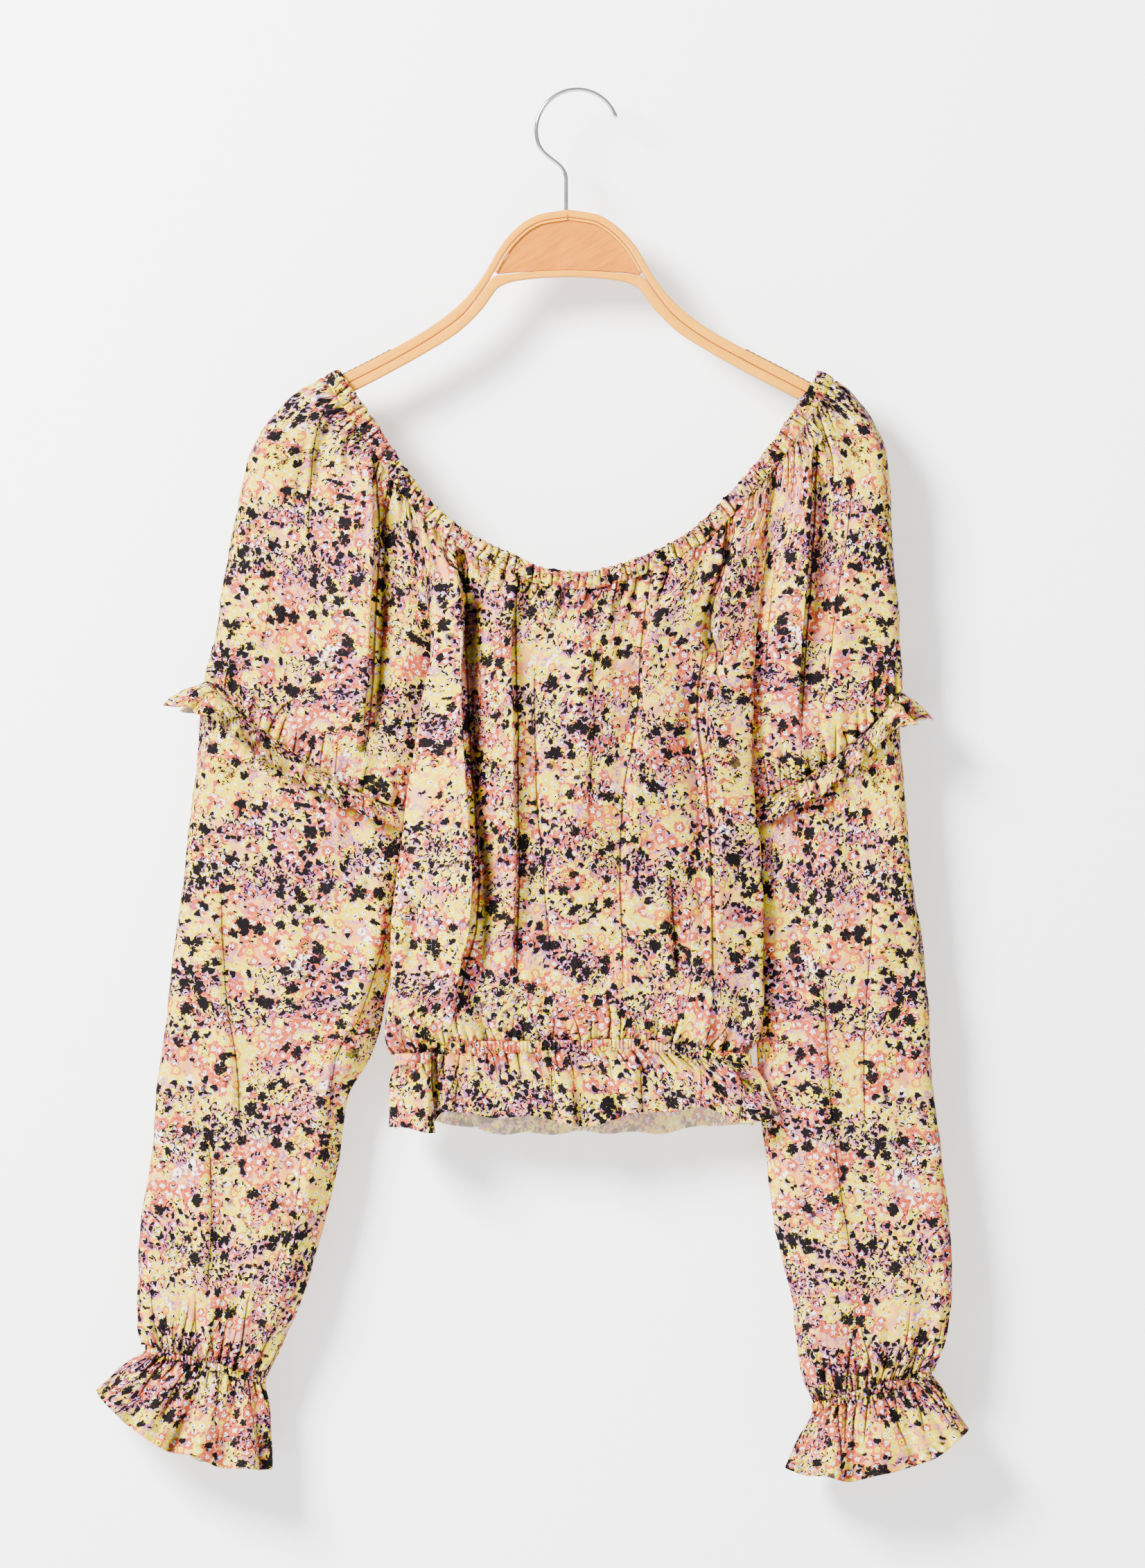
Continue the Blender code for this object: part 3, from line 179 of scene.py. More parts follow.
# Cloth and finish measures
UV_NAME = "cloth"
UV_SCALE = 0.01
# Painted shade: how far each point's colour is darkened in creases, troughs and beside seams and
# elastics
SHADE_NAME = "painted_shade"
SHADE_STEPS = ((2.2, 0.8, 0.60), (7.0, 6.0, 0.72))
TROUGH_SHADE = 0.05
RIB_SHADE = 0.55
# Painted shade lines: a dark line drawn at the foot of each crease, from a signed distance and a
# depth kept on the points
SHADE_LINE_NAMES = ("shade_line_away", "shade_line_depth")
SHADE_LINE_SPAN = 3.2
STEEP_FLANK = 6.5
FULL_SHADE_LINE_HEIGHT = 9.0
WAIST_PINCH = 0.022
WRIST_PINCH = 0.07
STITCH_WIDTH = 0.9
BAND_ROWS = np.linspace(0, 1, 8)
CASING_TURN = chart(
    "share offset lift",
    (0.85, -1.1, 0), (0.6, -1.3, 0), (0.35, -1.3, 0), (0.12, -1.2, 0), (0, -0.8, 0.35), (0, 0, 0.6),
    (0, 0.7, 0.35), (0.12, 1.1, 0), (0.28, 1.35, 0), (0.45, 1.4, 0), (0.62, 1.3, 0), (0.8, 1, 0),
    (0.92, 0.7, 0), (1, 0.45, 0),
)
# Small folds as edge, count, height, width, length and seed step, with the reach of their growth
# where they grow away from it. Then sharp creases as edge, count, length and seed step, and the
# cloth's unevenness as height, size and seed step.
RELIEF = {
    "panel": (
        ((TOP, 56, 3.0, 2.1, 24, 0), (TOP, 24, 2.8, 4.2, 90, 30), (FOOT, 56, 2.6, 2.0, 20, 60),
         (FOOT, 20, 3.0, 4.2, 70, 90)),
        ((TOP, 26, 22, 120), (FOOT, 30, 26, 150)),
        ((0.7, 46, 0), (0.28, 17, 1))),
    "hem_frill": (
        ((TOP, 80, 2.2, 1.7, 16, 0), (TOP, 17, 4.6, 5.6, 50, 30, 45)), ((TOP, 34, 20, 60),), ()),
    "upper_sleeve": (
        ((TOP, 52, 2.8, 2.1, 20, 0), (TOP, 20, 2.6, 4.2, 75, 1), (FOOT, 56, 2.4, 1.9, 16, 2),
         (FOOT, 18, 2.6, 4.2, 50, 3)),
        ((FOOT, 34, 26, 8), (TOP, 26, 26, 9)),
        ((0.7, 44, 0), (0.28, 16, 1))),
    "lower_sleeve": (
        ((TOP, 56, 2.2, 2.0, 18, 4), (TOP, 16, 2.4, 4.6, 70, 5), (FOOT, 60, 2.6, 1.9, 20, 6),
         (FOOT, 18, 3.2, 4.4, 75, 7)),
        ((FOOT, 34, 40, 10),),
        ((0.9, 50, 2), (0.3, 17, 3))),
}
TUCK_UNDER = 1.6
SINK_DEPTH = -1.6
ALLOWANCE = 5.0
HEM_WIDTH = 9.0
PLEAT = (
    (FRONT, 10, 30, 3, 0.5, 1, 40, ((-108, 660), (-108, 700), (-107, 800))),
    (FRONT, -3, 3, 9, 0, 1, 40, ((-101, 660), (-101, 700), (-100, 800))),
)
HEM_FOLDS = (
    (FRONT, 5.5, 9, 5, 0.3, 30, 40, ((-86, 690), (-92, 720), (-95, 770))),
    (FRONT, 4, 5, 9, -0.3, 24, 40, ((-13, 690), (-14, 715), (-12, 770))),
    (FRONT, 5, 10, 5, 0.3, 24, 40, ((40, 690), (41, 720), (43, 770))),
    (FRONT, 4, 5, 10, -0.3, 24, 40, ((92, 690), (94, 720), (95, 770))),
    (FRONT, 4.5, 8, 6, 0.2, 24, 40, ((112, 690), (111, 720), (110, 770))),
)
# Node, flat width and length in metres, flat area, how it is held and what carries it
SHEETS = {
    "front_panel_cloth": ("blouse_front", 0.385, 0.44, 0.142, "hung", "neckline_casing_cloth"),
    "back_panel_cloth": ("blouse_back", 0.345, 0.44, 0.117, "hung", "neckline_casing_cloth"),
    "waist_elastic_cloth": ("waist_band", 0.73, 0.01, 0.0064, "gathered",
        "front_panel_cloth", "back_panel_cloth"),
    "hem_frill_cloth_front": ("hem_frill_front", 0.375, 0.048, 0.0178, "gathered",
        "waist_elastic_cloth"),
    "hem_frill_cloth_back": ("hem_frill_back", 0.31, 0.058, 0.0178, "gathered",
        "waist_elastic_cloth"),
    "neckline_casing_cloth": ("neck_casing", 1.12, 0.026, 0.0291, "gathered", "bow_upper_strip"),
    "upper_sleeve_cloth_left": ("sleeve_upper_left", 0.37, 0.29, 0.088, "hung",
        "neckline_casing_cloth"),
    "upper_sleeve_cloth_right": ("sleeve_upper_right", 0.27, 0.30, 0.064, "hung",
        "neckline_casing_cloth"),
    "lower_sleeve_cloth_left": ("sleeve_lower_left", 0.335, 0.495, 0.150, "hung",
        "upper_sleeve_cloth_left"),
    "lower_sleeve_cloth_right": ("sleeve_lower_right", 0.295, 0.515, 0.131, "hung",
        "upper_sleeve_cloth_right"),
    "elbow_ruffle_cloth_left": ("sleeve_ruffle_left", 0.50, 0.018, 0.0090, "gathered",
        "upper_sleeve_cloth_left"),
    "elbow_ruffle_cloth_right": ("sleeve_ruffle_right", 0.42, 0.018, 0.0075, "gathered",
        "upper_sleeve_cloth_right"),
    "wrist_elastic_cloth_left": ("cuff_band_left", 0.27, 0.01, 0.0019, "gathered",
        "lower_sleeve_cloth_left"),
    "wrist_elastic_cloth_right": ("cuff_band_right", 0.27, 0.01, 0.0019, "gathered",
        "lower_sleeve_cloth_right"),
    "wrist_frill_cloth_left": ("cuff_frill_left", 0.32, 0.06, 0.0190, "gathered",
        "wrist_elastic_cloth_left"),
    "wrist_frill_cloth_right": ("cuff_frill_right", 0.31, 0.054, 0.0166, "gathered",
        "wrist_elastic_cloth_right"),
}
FINISHES = {}
STRIP_TALL = 5.2
STRIP_GAP = 0.45
PRINT = {
    "peach": "#F2A14F", "cream": "#F5C65A", "lilac_wash": "#C98688", "lilac": "#985AA5",
    "white": "#F6F4EE", "coral": "#AE4630", "coral_light": "#CF6440", "yellow": "#F4DF20",
    "yellow_edge": "#E9CA1E", "ochre": "#A56B22", "halo": "#D97A2C",
    "black": "#120E11", "reverse": "#F6E4CC",
    # painted shade: the dark brown that creases, troughs and seams are darkened towards
    "painted_shade": "#3E2F22",
}
# Blossoms as kind, seed, cell, size, share of the cells that hold one, and size of their patches
BLOOMS = (
    ("white", 3, 8.5, 3.1, 0.30, 30.0),
    ("coral", 6, 8.2, 4.2, 0.60, 34.0),
    ("yellow", 4, 8.4, 4.2, 0.52, 28.0),
    ("coral", 14, 9.0, 3.9, 0.44, 30.0),
    ("yellow", 5, 7.4, 3.6, 0.40, 26.0),
)
# Brush strokes as cell, length, width, seed and share; black blossoms as seed, cell, size and share
BASE_STROKES = ((4.6, 3.6, 0.55, 1, 0.50), (3.8, 3.0, 0.5, 2, 0.44))
STROKES = (
    (2.9, 1.6, 0.5, 8, 0.34), (3.6, 2.0, 0.65, 9, 0.32), (5.6, 2.2, 1.2, 10, 0.28),
    (9.0, 2.9, 1.8, 11, 0.24),
)
BLACK_BLOOMS = ((12, 11.0, 4.1, 0.32), (13, 9.0, 3.1, 0.28))
BAND_REPEAT = 81.0
FULL_TURN = 6.283
CLOTH_GLOSS = 0.08
REVERSE_FADE = 0.34
PRINT_SCALE = 1.15
PATCH_STRETCH = 0.5
WOOD = {
    "strip": ("#F5A71A", "#EB9812"), "panel": ("#DA8314", "#C6720E"), "pore": "#5C3211",
}
WALL_DEPTH = 0.039
WALL_COLOUR = "#F4F4F5"
FLOOR_HEIGHT = -1.25
KEY_PLACE = (-1.95, -2.15, 1.2)
KEY_SIZE = 1.1
KEY_POWER = 452.0
BACK_PLACE = (0.9, 2.6, 0.6)
BACK_SIZE = 1.6
BACK_POWER = 150.0
LIGHT_AIM = (0, 0, -0.5)
AIR_LIGHT = 0.70
WALL_GLOW = 0.6
WALL_LIGHT = 0.56
CAMERA_PLACE = (-0.0035, -6.296, -0.5005)

# Main creases as side, height, left, right, lean, start, stop and path. A positive height is a
# ridge towards that side and a negative one a trough. The path runs along the crest as (x, drop),
# left and right are the widths of its flanks, lean shifts the crest in x for each unit of height,
# and start and stop are how far it takes to rise and to fade.
BODY_FOLDS = (
    (FRONT, 15, 22, 4.6, 0.85, 36, 60, ((-90, 326), (-85.5, 356), (-84, 380), (-83.5, 425),
        (-81.5, 483), (-78.5, 530), (-75.5, 571), (-78.5, 608), (-84.5, 632), (-94, 690))),
    (FRONT, -9, 4, 7, 0, 30, 40, ((-80, 350), (-77, 400), (-76, 440), (-73, 520), (-67, 571),
        (-70, 650))),
    (FRONT, 4, 5, 2.6, 0.4, 12, 40, ((-100.5, 322), (-99, 341), (-96.5, 362), (-93.5, 385),
        (-90, 425))),
    (FRONT, 7, 20, 4.2, 0.5, 30, 60, ((-49, 340), (-47, 458), (-46, 560), (-48, 660))),
    (FRONT, -3, 6, 11, 0, 40, 60, ((-40, 380), (-36, 510), (-32, 650))),
    (FRONT, 4.5, 3, 22, -0.4, 40, 60, ((-29, 400), (-27, 510), (-22, 560), (-15, 660))),
    (FRONT, 13.5, 4.8, 26, -0.85, 40, 70, ((56, 352), (51.5, 393), (49, 425), (44.5, 469),
        (37.5, 513), (36, 560), (38, 660))),
    (FRONT, -5, 13, 5, 0, 50, 70, ((44, 380), (38, 440), (30, 500), (27, 620))),
    (FRONT, 10.5, 5, 13, -0.7, 30, 45, ((120, 302), (118, 322), (110, 352), (102.5, 372),
        (102, 386), (107, 404), (116, 428), (122, 446))),
    (FRONT, -5.5, 6, 5, 0, 16, 20, ((112, 318), (101, 352), (95, 374), (95, 390), (100, 412),
        (106, 430))),
    (FRONT, 11, 4.6, 17, -0.85, 24, 50, ((97, 400), (93.5, 450), (98.5, 505), (101, 560),
        (103, 670))),
    (FRONT, -4.5, 8, 4, 0, 30, 50, ((88, 420), (84, 460), (88, 520), (91, 640))),
    (FRONT, 4.5, 8, 3.4, 0.4, 25, 30, ((68, 555), (70, 599), (69, 655))),
    (FRONT, 4.5, 3.4, 9, -0.4, 20, 25, ((85.5, 590), (86.5, 634), (79, 672))),
    (FRONT, 3.4, 10, 4, 0.3, 30, 40, ((4, 372), (8, 450), (4, 540))),
    (FRONT, 2, 5, 12, -0.2, 40, 40, ((-8, 560), (-2, 620), (-2, 670))),
    (BACK, 11, 22, 6, 0.6, 40, 60, ((-86, 335), (-74, 440), (-70, 540), (-84, 680))),
    (BACK, -3.5, 4, 7, 0, 40, 60, ((-76, 345), (-64, 440), (-60, 540), (-70, 670))),
    (BACK, 7, 10, 14, -0.2, 40, 60, ((-20, 360), (-24, 470), (-18, 620))),
    (BACK, 4, 6, 12, -0.2, 40, 60, ((18, 420), (14, 520), (20, 660))),
    (BACK, 10, 6, 22, -0.6, 40, 60, ((62, 345), (52, 460), (46, 560), (52, 680))),
    (BACK, 6.5, 12, 6, 0.3, 30, 50, ((100, 318), (96, 430), (94, 560), (98, 665))),
)
SLEEVE_FOLDS = {
    "left": (
        (FRONT, 13, 18, 4.2, 0.9, 24, 60, ((-155, 262), (-148.5, 285), (-147, 319), (-148.5, 356),
            (-150, 385), (-152, 425), (-158, 492))),
        (FRONT, -8, 4, 7, 0, 20, 50, ((-142, 284), (-139, 319), (-140, 370), (-143, 430),
            (-148, 480))),
        (FRONT, -4, 3, 6, 0, 12, 30, ((-187, 224), (-194.5, 238), (-199.5, 265), (-202.5, 290),
            (-204, 330))),
        (FRONT, 4, 7, 3.6, 0.3, 12, 40, ((-182, 226), (-190, 242), (-194, 262), (-197, 300),
            (-198, 350))),
        (FRONT, -3.2, 3.4, 4, 0, 10, 20, ((-172.5, 232), (-181, 245), (-186, 256), (-188.5, 268),
            (-189, 292))),
        (FRONT, 2, 4, 8, -0.2, 20, 50, ((-176, 262), (-174, 300), (-180, 360), (-190, 420))),
        (FRONT, 3, 14, 6, 0.2, 40, 60, ((-226, 300), (-228, 360), (-236, 430))),
        (BACK, 9, 18, 6, 0.5, 30, 50, ((-150, 275), (-154, 340), (-162, 470))),
        (BACK, 6, 9, 13, -0.3, 30, 60, ((-196, 236), (-206, 300), (-214, 420))),
        (FRONT, 5, 14, 6, 0.3, 60, 70, ((-264, 550), (-260, 647), (-251, 710), (-247, 790))),
        (FRONT, 4, 9, 5, 0.2, 50, 40, ((-136.5, 580), (-160, 665), (-179.5, 701), (-185, 760))),
        (FRONT, 4, 9, 5, 0.2, 40, 50, ((-287, 730), (-270, 770), (-269, 817), (-274, 900))),
        (FRONT, 3.6, 5, 9, -0.2, 40, 50, ((-190, 750), (-201, 815), (-214, 880))),
        (FRONT, 3, 10, 10, 0, 60, 80, ((-205, 500), (-204, 590), (-212, 700))),
        (FRONT, 2.6, 8, 8, 0, 60, 60, ((-236, 760), (-240, 830), (-250, 900))),
        (BACK, 7, 12, 7, 0.3, 60, 80, ((-210, 500), (-222, 640), (-236, 800))),
        (BACK, 5, 9, 12, -0.2, 60, 60, ((-250, 520), (-262, 640), (-266, 760))),
        (BACK, 5, 9, 12, -0.2, 60, 40, ((-196, 740), (-214, 830), (-236, 905))),
    ),
    "right": (
        (FRONT, 8.5, 14, 3.8, 0.7, 24, 60, ((172, 240), (169.5, 261), (167.5, 297), (166, 327),
            (164.5, 363), (161.5, 400), (157, 480))),
        (FRONT, -4, 5, 12, 0, 30, 60, ((178, 262), (176, 300), (174, 363), (170, 430))),
        (FRONT, 5, 4.4, 16, -0.3, 40, 60, ((204, 262), (200, 320), (193, 363), (186, 420),
            (176, 480))),
        (FRONT, 3.2, 5, 8, -0.2, 20, 40, ((150, 300), (147, 340), (141, 400), (140, 450))),
        (BACK, 8, 14, 6, 0.5, 40, 60, ((172, 248), (168, 330), (160, 460))),
        (BACK, 5.5, 9, 12, -0.2, 40, 60, ((202, 256), (206, 330), (202, 430))),
        (FRONT, 5, 6, 14, -0.3, 60, 70, ((221, 550), (216.5, 629), (212, 690), (214, 780))),
        (FRONT, 4.4, 12, 6, 0.2, 60, 70, ((168, 600), (178, 740), (196, 880))),
        (FRONT, 3.2, 8, 10, 0, 60, 60, ((190, 470), (184, 560), (188, 640))),
        (FRONT, 3, 8, 8, 0, 50, 40, ((228, 800), (232, 860), (226, 912))),
        (BACK, 6.5, 9, 12, -0.3, 60, 80, ((180, 500), (186, 640), (202, 800))),
        (BACK, 5.5, 12, 8, 0.2, 60, 60, ((226, 680), (236, 790), (240, 900))),
    ),
}


def flow(knots, values, at):
    """A smooth curve through the knots: a cubic on each span, level where the values turn back."""
    at = np.clip(at, knots[0], knots[-1])
    spans = np.diff(knots)
    steps = np.diff(values) / spans
    slopes = np.empty(len(knots))
    slopes[0] = steps[0]
    slopes[-1] = steps[-1]
    same = steps[:-1] * steps[1:] > 0
    total = np.where(same, steps[:-1] + steps[1:], 1.0)
    slopes[1:-1] = np.where(same, 2 * steps[:-1] * steps[1:] / total, 0.0)
    i = np.clip(np.searchsorted(knots, at, side="right") - 1, 0, len(spans) - 1)
    t = (at - knots[i]) / spans[i]
    rise = values[i] * (1 - t) ** 2 * (1 + 2 * t) + values[i + 1] * t ** 2 * (3 - 2 * t)
    return rise + spans[i] * (slopes[i] * t * (1 - t) ** 2 - slopes[i + 1] * t ** 2 * (1 - t))


def read(table, name, at):
    """A named column, read smoothly at any value of the chart's first column."""
    return flow(next(iter(table.values())), table[name], at)


def blend(a, b, t):
    return a + (b - a) * t


def smoothstep(t):
    t = np.clip(t, 0.0, 1.0)
    return t * t * (3 - 2 * t)


def rounded(distance, radius, power=2.6):
    """Share of the full depth at a distance from a fold's edge: 0 on it, 1 from the radius on."""
    t = np.clip(1 - distance / radius, 0.0, 1.0)
    return (1 - t ** power) ** (1 / power)


def neck_edge(x):
    return read(NECK_EDGE, "drop", x)


def neck_seam(x):
    """Where the casing ends below a point of the neckline's edge, square to it, along the ridge."""
    step = 0.5
    low, high = NECK_EDGE["x"][[0, -1]]
    run = (neck_edge(x + step) - neck_edge(x - step)) / (2 * step)
    run = np.where((x < low + step) | (x > high - step), 2 * run, run)
    size = np.hypot(1, run)
    across = -run / size
    down = 1 / size
    to_ridge = np.maximum(1 - (x - low) / SHOULDER_BLEND, 1 - (high - x) / SHOULDER_BLEND)
    to_ridge = smoothstep(to_ridge)
    side = np.where(x < 0, -1.0, 1.0)
    across = blend(across, side * math.cos(SHOULDER_SLOPE), to_ridge)
    down = blend(down, math.sin(SHOULDER_SLOPE), to_ridge)
    return x + CASING_WIDTH * across, neck_edge(x) + CASING_WIDTH * down


SEAM_X, SEAM_DROP = neck_seam(np.linspace(*NECK_EDGE["x"][[0, -1]], 241))


def neck_seam_drop(x):
    return np.interp(x, SEAM_X, SEAM_DROP)


def neck_depth(x, drop, side):
    """Depth of the cloth at the neckline: full, but round over the ridge at each arm."""
    ends = np.where(x < 0, SEAM_X[0], SEAM_X[-1])
    end_drops = np.where(x < 0, SEAM_DROP[0], SEAM_DROP[-1])
    return side * NECK_HALF_DEPTH * rounded(np.hypot(x - ends, drop - end_drops), NECK_ROUND)


def side_seam(which, drop, side):
    """The raglan seam and, from the underarm down, the side seam, as x and y."""
    close = read(BODY, "close_" + which, drop)
    tuck = read(BODY, "tuck_" + which, drop) * (1 if which == "left" else -1)
    depth = read(BODY, FACE[side], drop)
    return read(BODY, which, drop) + tuck * close, side * depth * (1 - close)


def corner(which, t, drop, side):
    """A panel's turn from its seam, at t = 0, to its plane, at t = 1: a cubic from four points.

    Where the armhole is open the four points lie in one line. Towards the underarm the front
    swings out past its seam, and the back turns in from it.
    """
    close = read(BODY, "close_" + which, drop)
    tuck = read(BODY, "tuck_" + which, drop)
    depth = read(BODY, FACE[side], drop)
    if side == FRONT:
        over = (tuck, tuck - 1, -CORNER_SWING * tuck, np.full_like(tuck, CORNER_WIDTH))
    else:
        over = (tuck, tuck + 0.5, tuck + 2.5, tuck + CORNER_WIDTH - 4)
    out = (0.0, 0.5, 1.0, 1.0)
    flat = (0.0, CORNER_WIDTH / 3, 2 * CORNER_WIDTH / 3, CORNER_WIDTH)
    weights = ((1 - t) ** 3, 3 * (1 - t) ** 2 * t, 3 * (1 - t) * t ** 2, t ** 3)
    x = sum(w * blend(f, o, close) for w, f, o in zip(weights, flat, over))
    y = sum(w * blend(1.0, o, close) for w, o in zip(weights, out))
    return x, side * depth * y


def body_surface(side, drop, left_t, right_t, flat_u):
    """Points of the body at these drops: a corner, a plane and a corner, by column."""
    left = read(BODY, "left", drop)
    right = read(BODY, "right", drop)
    left_x, left_y = corner("left", left_t, drop, side)
    right_x, right_y = corner("right", right_t, drop, side)
    end_x = corner("left", np.ones_like(drop), drop, side)[0]
    start_x = corner("right", np.ones_like(drop), drop, side)[0]
    plane_x = blend(left + end_x, right - start_x, flat_u)
    plane_y = side * read(BODY, FACE[side], drop)
    x = np.where(left_t < 1, left + left_x, np.where(right_t < 1, right - right_x, plane_x))
    y = np.where(left_t < 1, left_y, np.where(right_t < 1, right_y, plane_y))
    return np.stack([x, y, -drop], axis=-1)


def body_columns(count, corner_count=14):
    """Column values across a panel: the two corners' own parameters, then the plane's."""
    turn = np.linspace(0, 1, corner_count + 1)
    plane = np.linspace(0, 1, count - 2 * corner_count + 1)[1:-1]
    ones = np.ones_like
    left = np.concatenate([turn, ones(plane), ones(turn)])
    right = np.concatenate([ones(turn), ones(plane), turn[::-1]])
    flat = np.concatenate([0 * turn, plane, ones(turn)])
    return left, right, flat


def body_panel(side, top, bottom, rows, columns):
    """A grid between two lines given as functions of x, which are found again as x settles."""
    left, right, flat = (np.tile(part, (len(rows), 1)) for part in columns)
    reach = np.array(rows)[:, None] * np.ones_like(left)
    x = np.linspace(BODY["left"][0], BODY["right"][0], left.shape[1]) * np.ones_like(left)
    for _ in range(SETTLE_ROUNDS):
        drop = blend(top(x), bottom(x), reach)
        points = body_surface(side, drop, left, right, flat)
        head = body_surface(side, top(x), left, right, flat)
        foot = body_surface(side, bottom(x), left, right, flat)
        x = blend(head[..., 0], foot[..., 0], reach)
    return points


def waist_top(x):
    return read(WAIST_LINE, "drop", x)


def waist_bottom(x):
    return waist_top(x) + BAND_HEIGHT


def hem(side):
    return lambda x: read(HEM_LINE, FACE[side], x)


def sleeve_columns(flat_count, round_count):
    """Places round a sleeve: share of the flat run and angle of the outer turn, front then back."""
    flat = np.linspace(0, 1, flat_count + 1)
    turn = np.linspace(0, np.pi / 2, round_count + 1)[1:]
    share = np.concatenate([flat, np.ones(round_count)])
    angle = np.concatenate([0 * flat, turn])
    sign = np.concatenate([np.full(len(share), FRONT), np.full(len(share) - 1, BACK)])
    return np.append(share, share[-2::-1]), np.append(angle, angle[-2::-1]), sign


def sleeve_section(inner, outer, inner_y, half_depth, centre, radius, places, sag):
    """Sections of a sleeve between its inner and outer edges, which are rows of (x, drop).

    The depth rises from the inner edge as a quarter sine, stays level, and turns round the
    outer edge as a squared-off quarter circle. The line between the edges sags in the middle.
    """
    share, angle, sign = places
    run = outer - inner
    length = np.hypot(run[:, 0], run[:, 1])[:, None]
    turn = radius[:, None] * (1 - np.sin(angle)[None, :] ** SQUARED)
    away = np.where(angle > 0, length - turn, share * (length - radius[:, None]))
    part = away / length
    middle = 4 * part * (1 - part) * sag[:, None]
    square = np.stack([run[:, 1], -run[:, 0]], axis=-1) / length
    square = np.where(square[:, 1:] < 0, -square, square)
    x = inner[:, :1] + run[:, :1] * part + square[:, :1] * middle
    drop = inner[:, 1:] + run[:, 1:] * part + square[:, 1:] * middle
    plane = centre[:, None] + sign * half_depth[:, None]
    rise = np.sin(0.5 * np.pi * np.clip(away / SEAM_REACH, 0, 1))
    y = blend(inner_y, plane, rise)
    y = np.where(angle > 0, blend(centre[:, None], plane, np.cos(angle) ** SQUARED), y)
    return np.stack([x, y, -drop], axis=-1)


def edge_line(table, edge, v):
    """One edge of a sleeve as rows of (x, drop)."""
    return np.stack([read(table, edge + "_x", v), read(table, edge + "_drop", v)], axis=-1)


def sleeve_edges_upper(which, v):
    """Inner and outer edges of the upper sleeve, with the seam's own depth on each side."""
    table = SLEEVE_UPPER[which]
    drop = read(table, "seam_drop", v)
    apart = read(table, "apart", v) * (-1 if which == "left" else 1)
    seam_x, front_y = side_seam(which, drop, FRONT)
    back_y = side_seam(which, drop, BACK)[1]
    return np.stack([seam_x + apart, drop], axis=-1), edge_line(table, "outer", v), front_y, back_y


def upper_sleeve(which, rows, places):
    """The sleeve from the neckline to the gathered line above the elbow, open along its inside."""
    v = np.array(rows)
    table = SLEEVE_UPPER[which]
    inner, outer, front_y, back_y = sleeve_edges_upper(which, v)
    inner_y = np.where(places[2] == FRONT, front_y[:, None], back_y[:, None])
    measures = [read(table, name, v) for name in SECTION]
    points = sleeve_section(inner, outer, inner_y, *measures, places, LINE_SAG * v ** 3)
    share = np.hypot(points[0, :, 0] - inner[0, 0], points[0, :, 2] + inner[0, 1])
    share = share / np.hypot(*(outer[0] - inner[0]))
    end = SEAM_X[0] if which == "left" else SEAM_X[-1]
    x = blend(inner[0, 0], end, share)
    top = np.stack([x, points[0, :, 1], -neck_seam_drop(x)], axis=-1)
    fade = np.clip(1 - v / 0.3, 0, 1)[:, None, None] ** 2
    return points + (top - points[0]) * fade


def lower_table(which):
    """The lower sleeve's stations, the first of which is the upper sleeve's last."""
    table = {name: values.copy() for name, values in SLEEVE_LOWER[which].items()}
    inner, outer = sleeve_edges_upper(which, np.array([1.0]))[:2]
    for name, value in zip(LOWER_NAMES.split()[1:5], (*inner[0], *outer[0])):
        table[name][0] = value
    return table


def lower_sleeve(which, rows, places):
    """The sleeve from the gathered line to the wrist, a closed tube with a creased inner edge."""
    v = np.array(rows)
    table = lower_table(which)
    edges = [edge_line(table, edge, v) for edge in ("inner", "outer")]
    measures = [read(table, name, v) for name in SECTION]
    inner_y = (measures[1] * smoothstep(v * 4))[:, None]
    return sleeve_section(*edges, inner_y, *measures, places, LINE_SAG * (1 - v) ** 3)


def cuff_frill(which, rows, places):
    """The flared end: from the wrist band's lower edge to a hem that hangs in a curve."""
    v = np.array(rows)[:, None, None]
    top = lower_sleeve(which, (1.0,), places)[0]
    top[:, 2] -= CUFF_BAND_HEIGHT
    inner, outer, sag, lean = CUFF_HEM[which]
    half, centre = np.array([CUFF_HEM_HALF_DEPTH]), np.array([4.0])
    line = sleeve_section(np.array([inner]), np.array([outer]), centre[:, None], half, centre, half,
                          places, np.zeros(1))[0]
    part = np.abs(line[:, 0] - inner[0]) / abs(outer[0] - inner[0])
    line[:, 2] -= sag * 4 * part * (1 - part) * (1 + lean * (2 * part - 1))
    return blend(top, line, smoothstep(v) * 0.35 + v * 0.65)


def no_shade_lines(points):
    """The painted shade lines of a piece without any: far away, and no depth."""
    return np.stack([np.full(points.shape[:2], 99.0), np.zeros(points.shape[:2])])


def add_shade_line(lines, away, depth):
    """Keep, at each point, the deeper painted shade line: its signed distance and depth within its
    span.
    """
    depth = depth * np.clip(1 - (away / SHADE_LINE_SPAN) ** 2, 0, 1)
    deeper = depth > lines[1]
    lines[0] = np.where(deeper, np.clip(away, -SHADE_LINE_SPAN, SHADE_LINE_SPAN), lines[0])
    lines[1] = np.where(deeper, depth, lines[1])


def run_across(points, ring=False):
    """Length along each row up to each column, with the whole length as one more on a ring."""
    closed = np.concatenate([points, points[:, :1]], axis=1) if ring else points
    steps = np.linalg.norm(np.diff(closed, axis=1), axis=-1)
    return np.concatenate([np.zeros((len(points), 1)), np.cumsum(steps, axis=1)], axis=1)


def run_down(points, first=True):
    """Length down each column from the first row, or up from the last."""
    steps = np.linalg.norm(np.diff(points, axis=0), axis=-1)
    run = np.concatenate([np.zeros((1, points.shape[1])), np.cumsum(steps, axis=0)])
    return run if first else run[-1] - run


def ramp(far, reach):
    """From 0 at an edge to 1 at this distance, smoothly."""
    return smoothstep(far / reach)


def side_hold(points, left, right=None):
    """From 0 at both side edges to 1 at these distances from them."""
    across = run_across(points)
    return ramp(across, left) * ramp(across[:, -1:] - across, right or left)


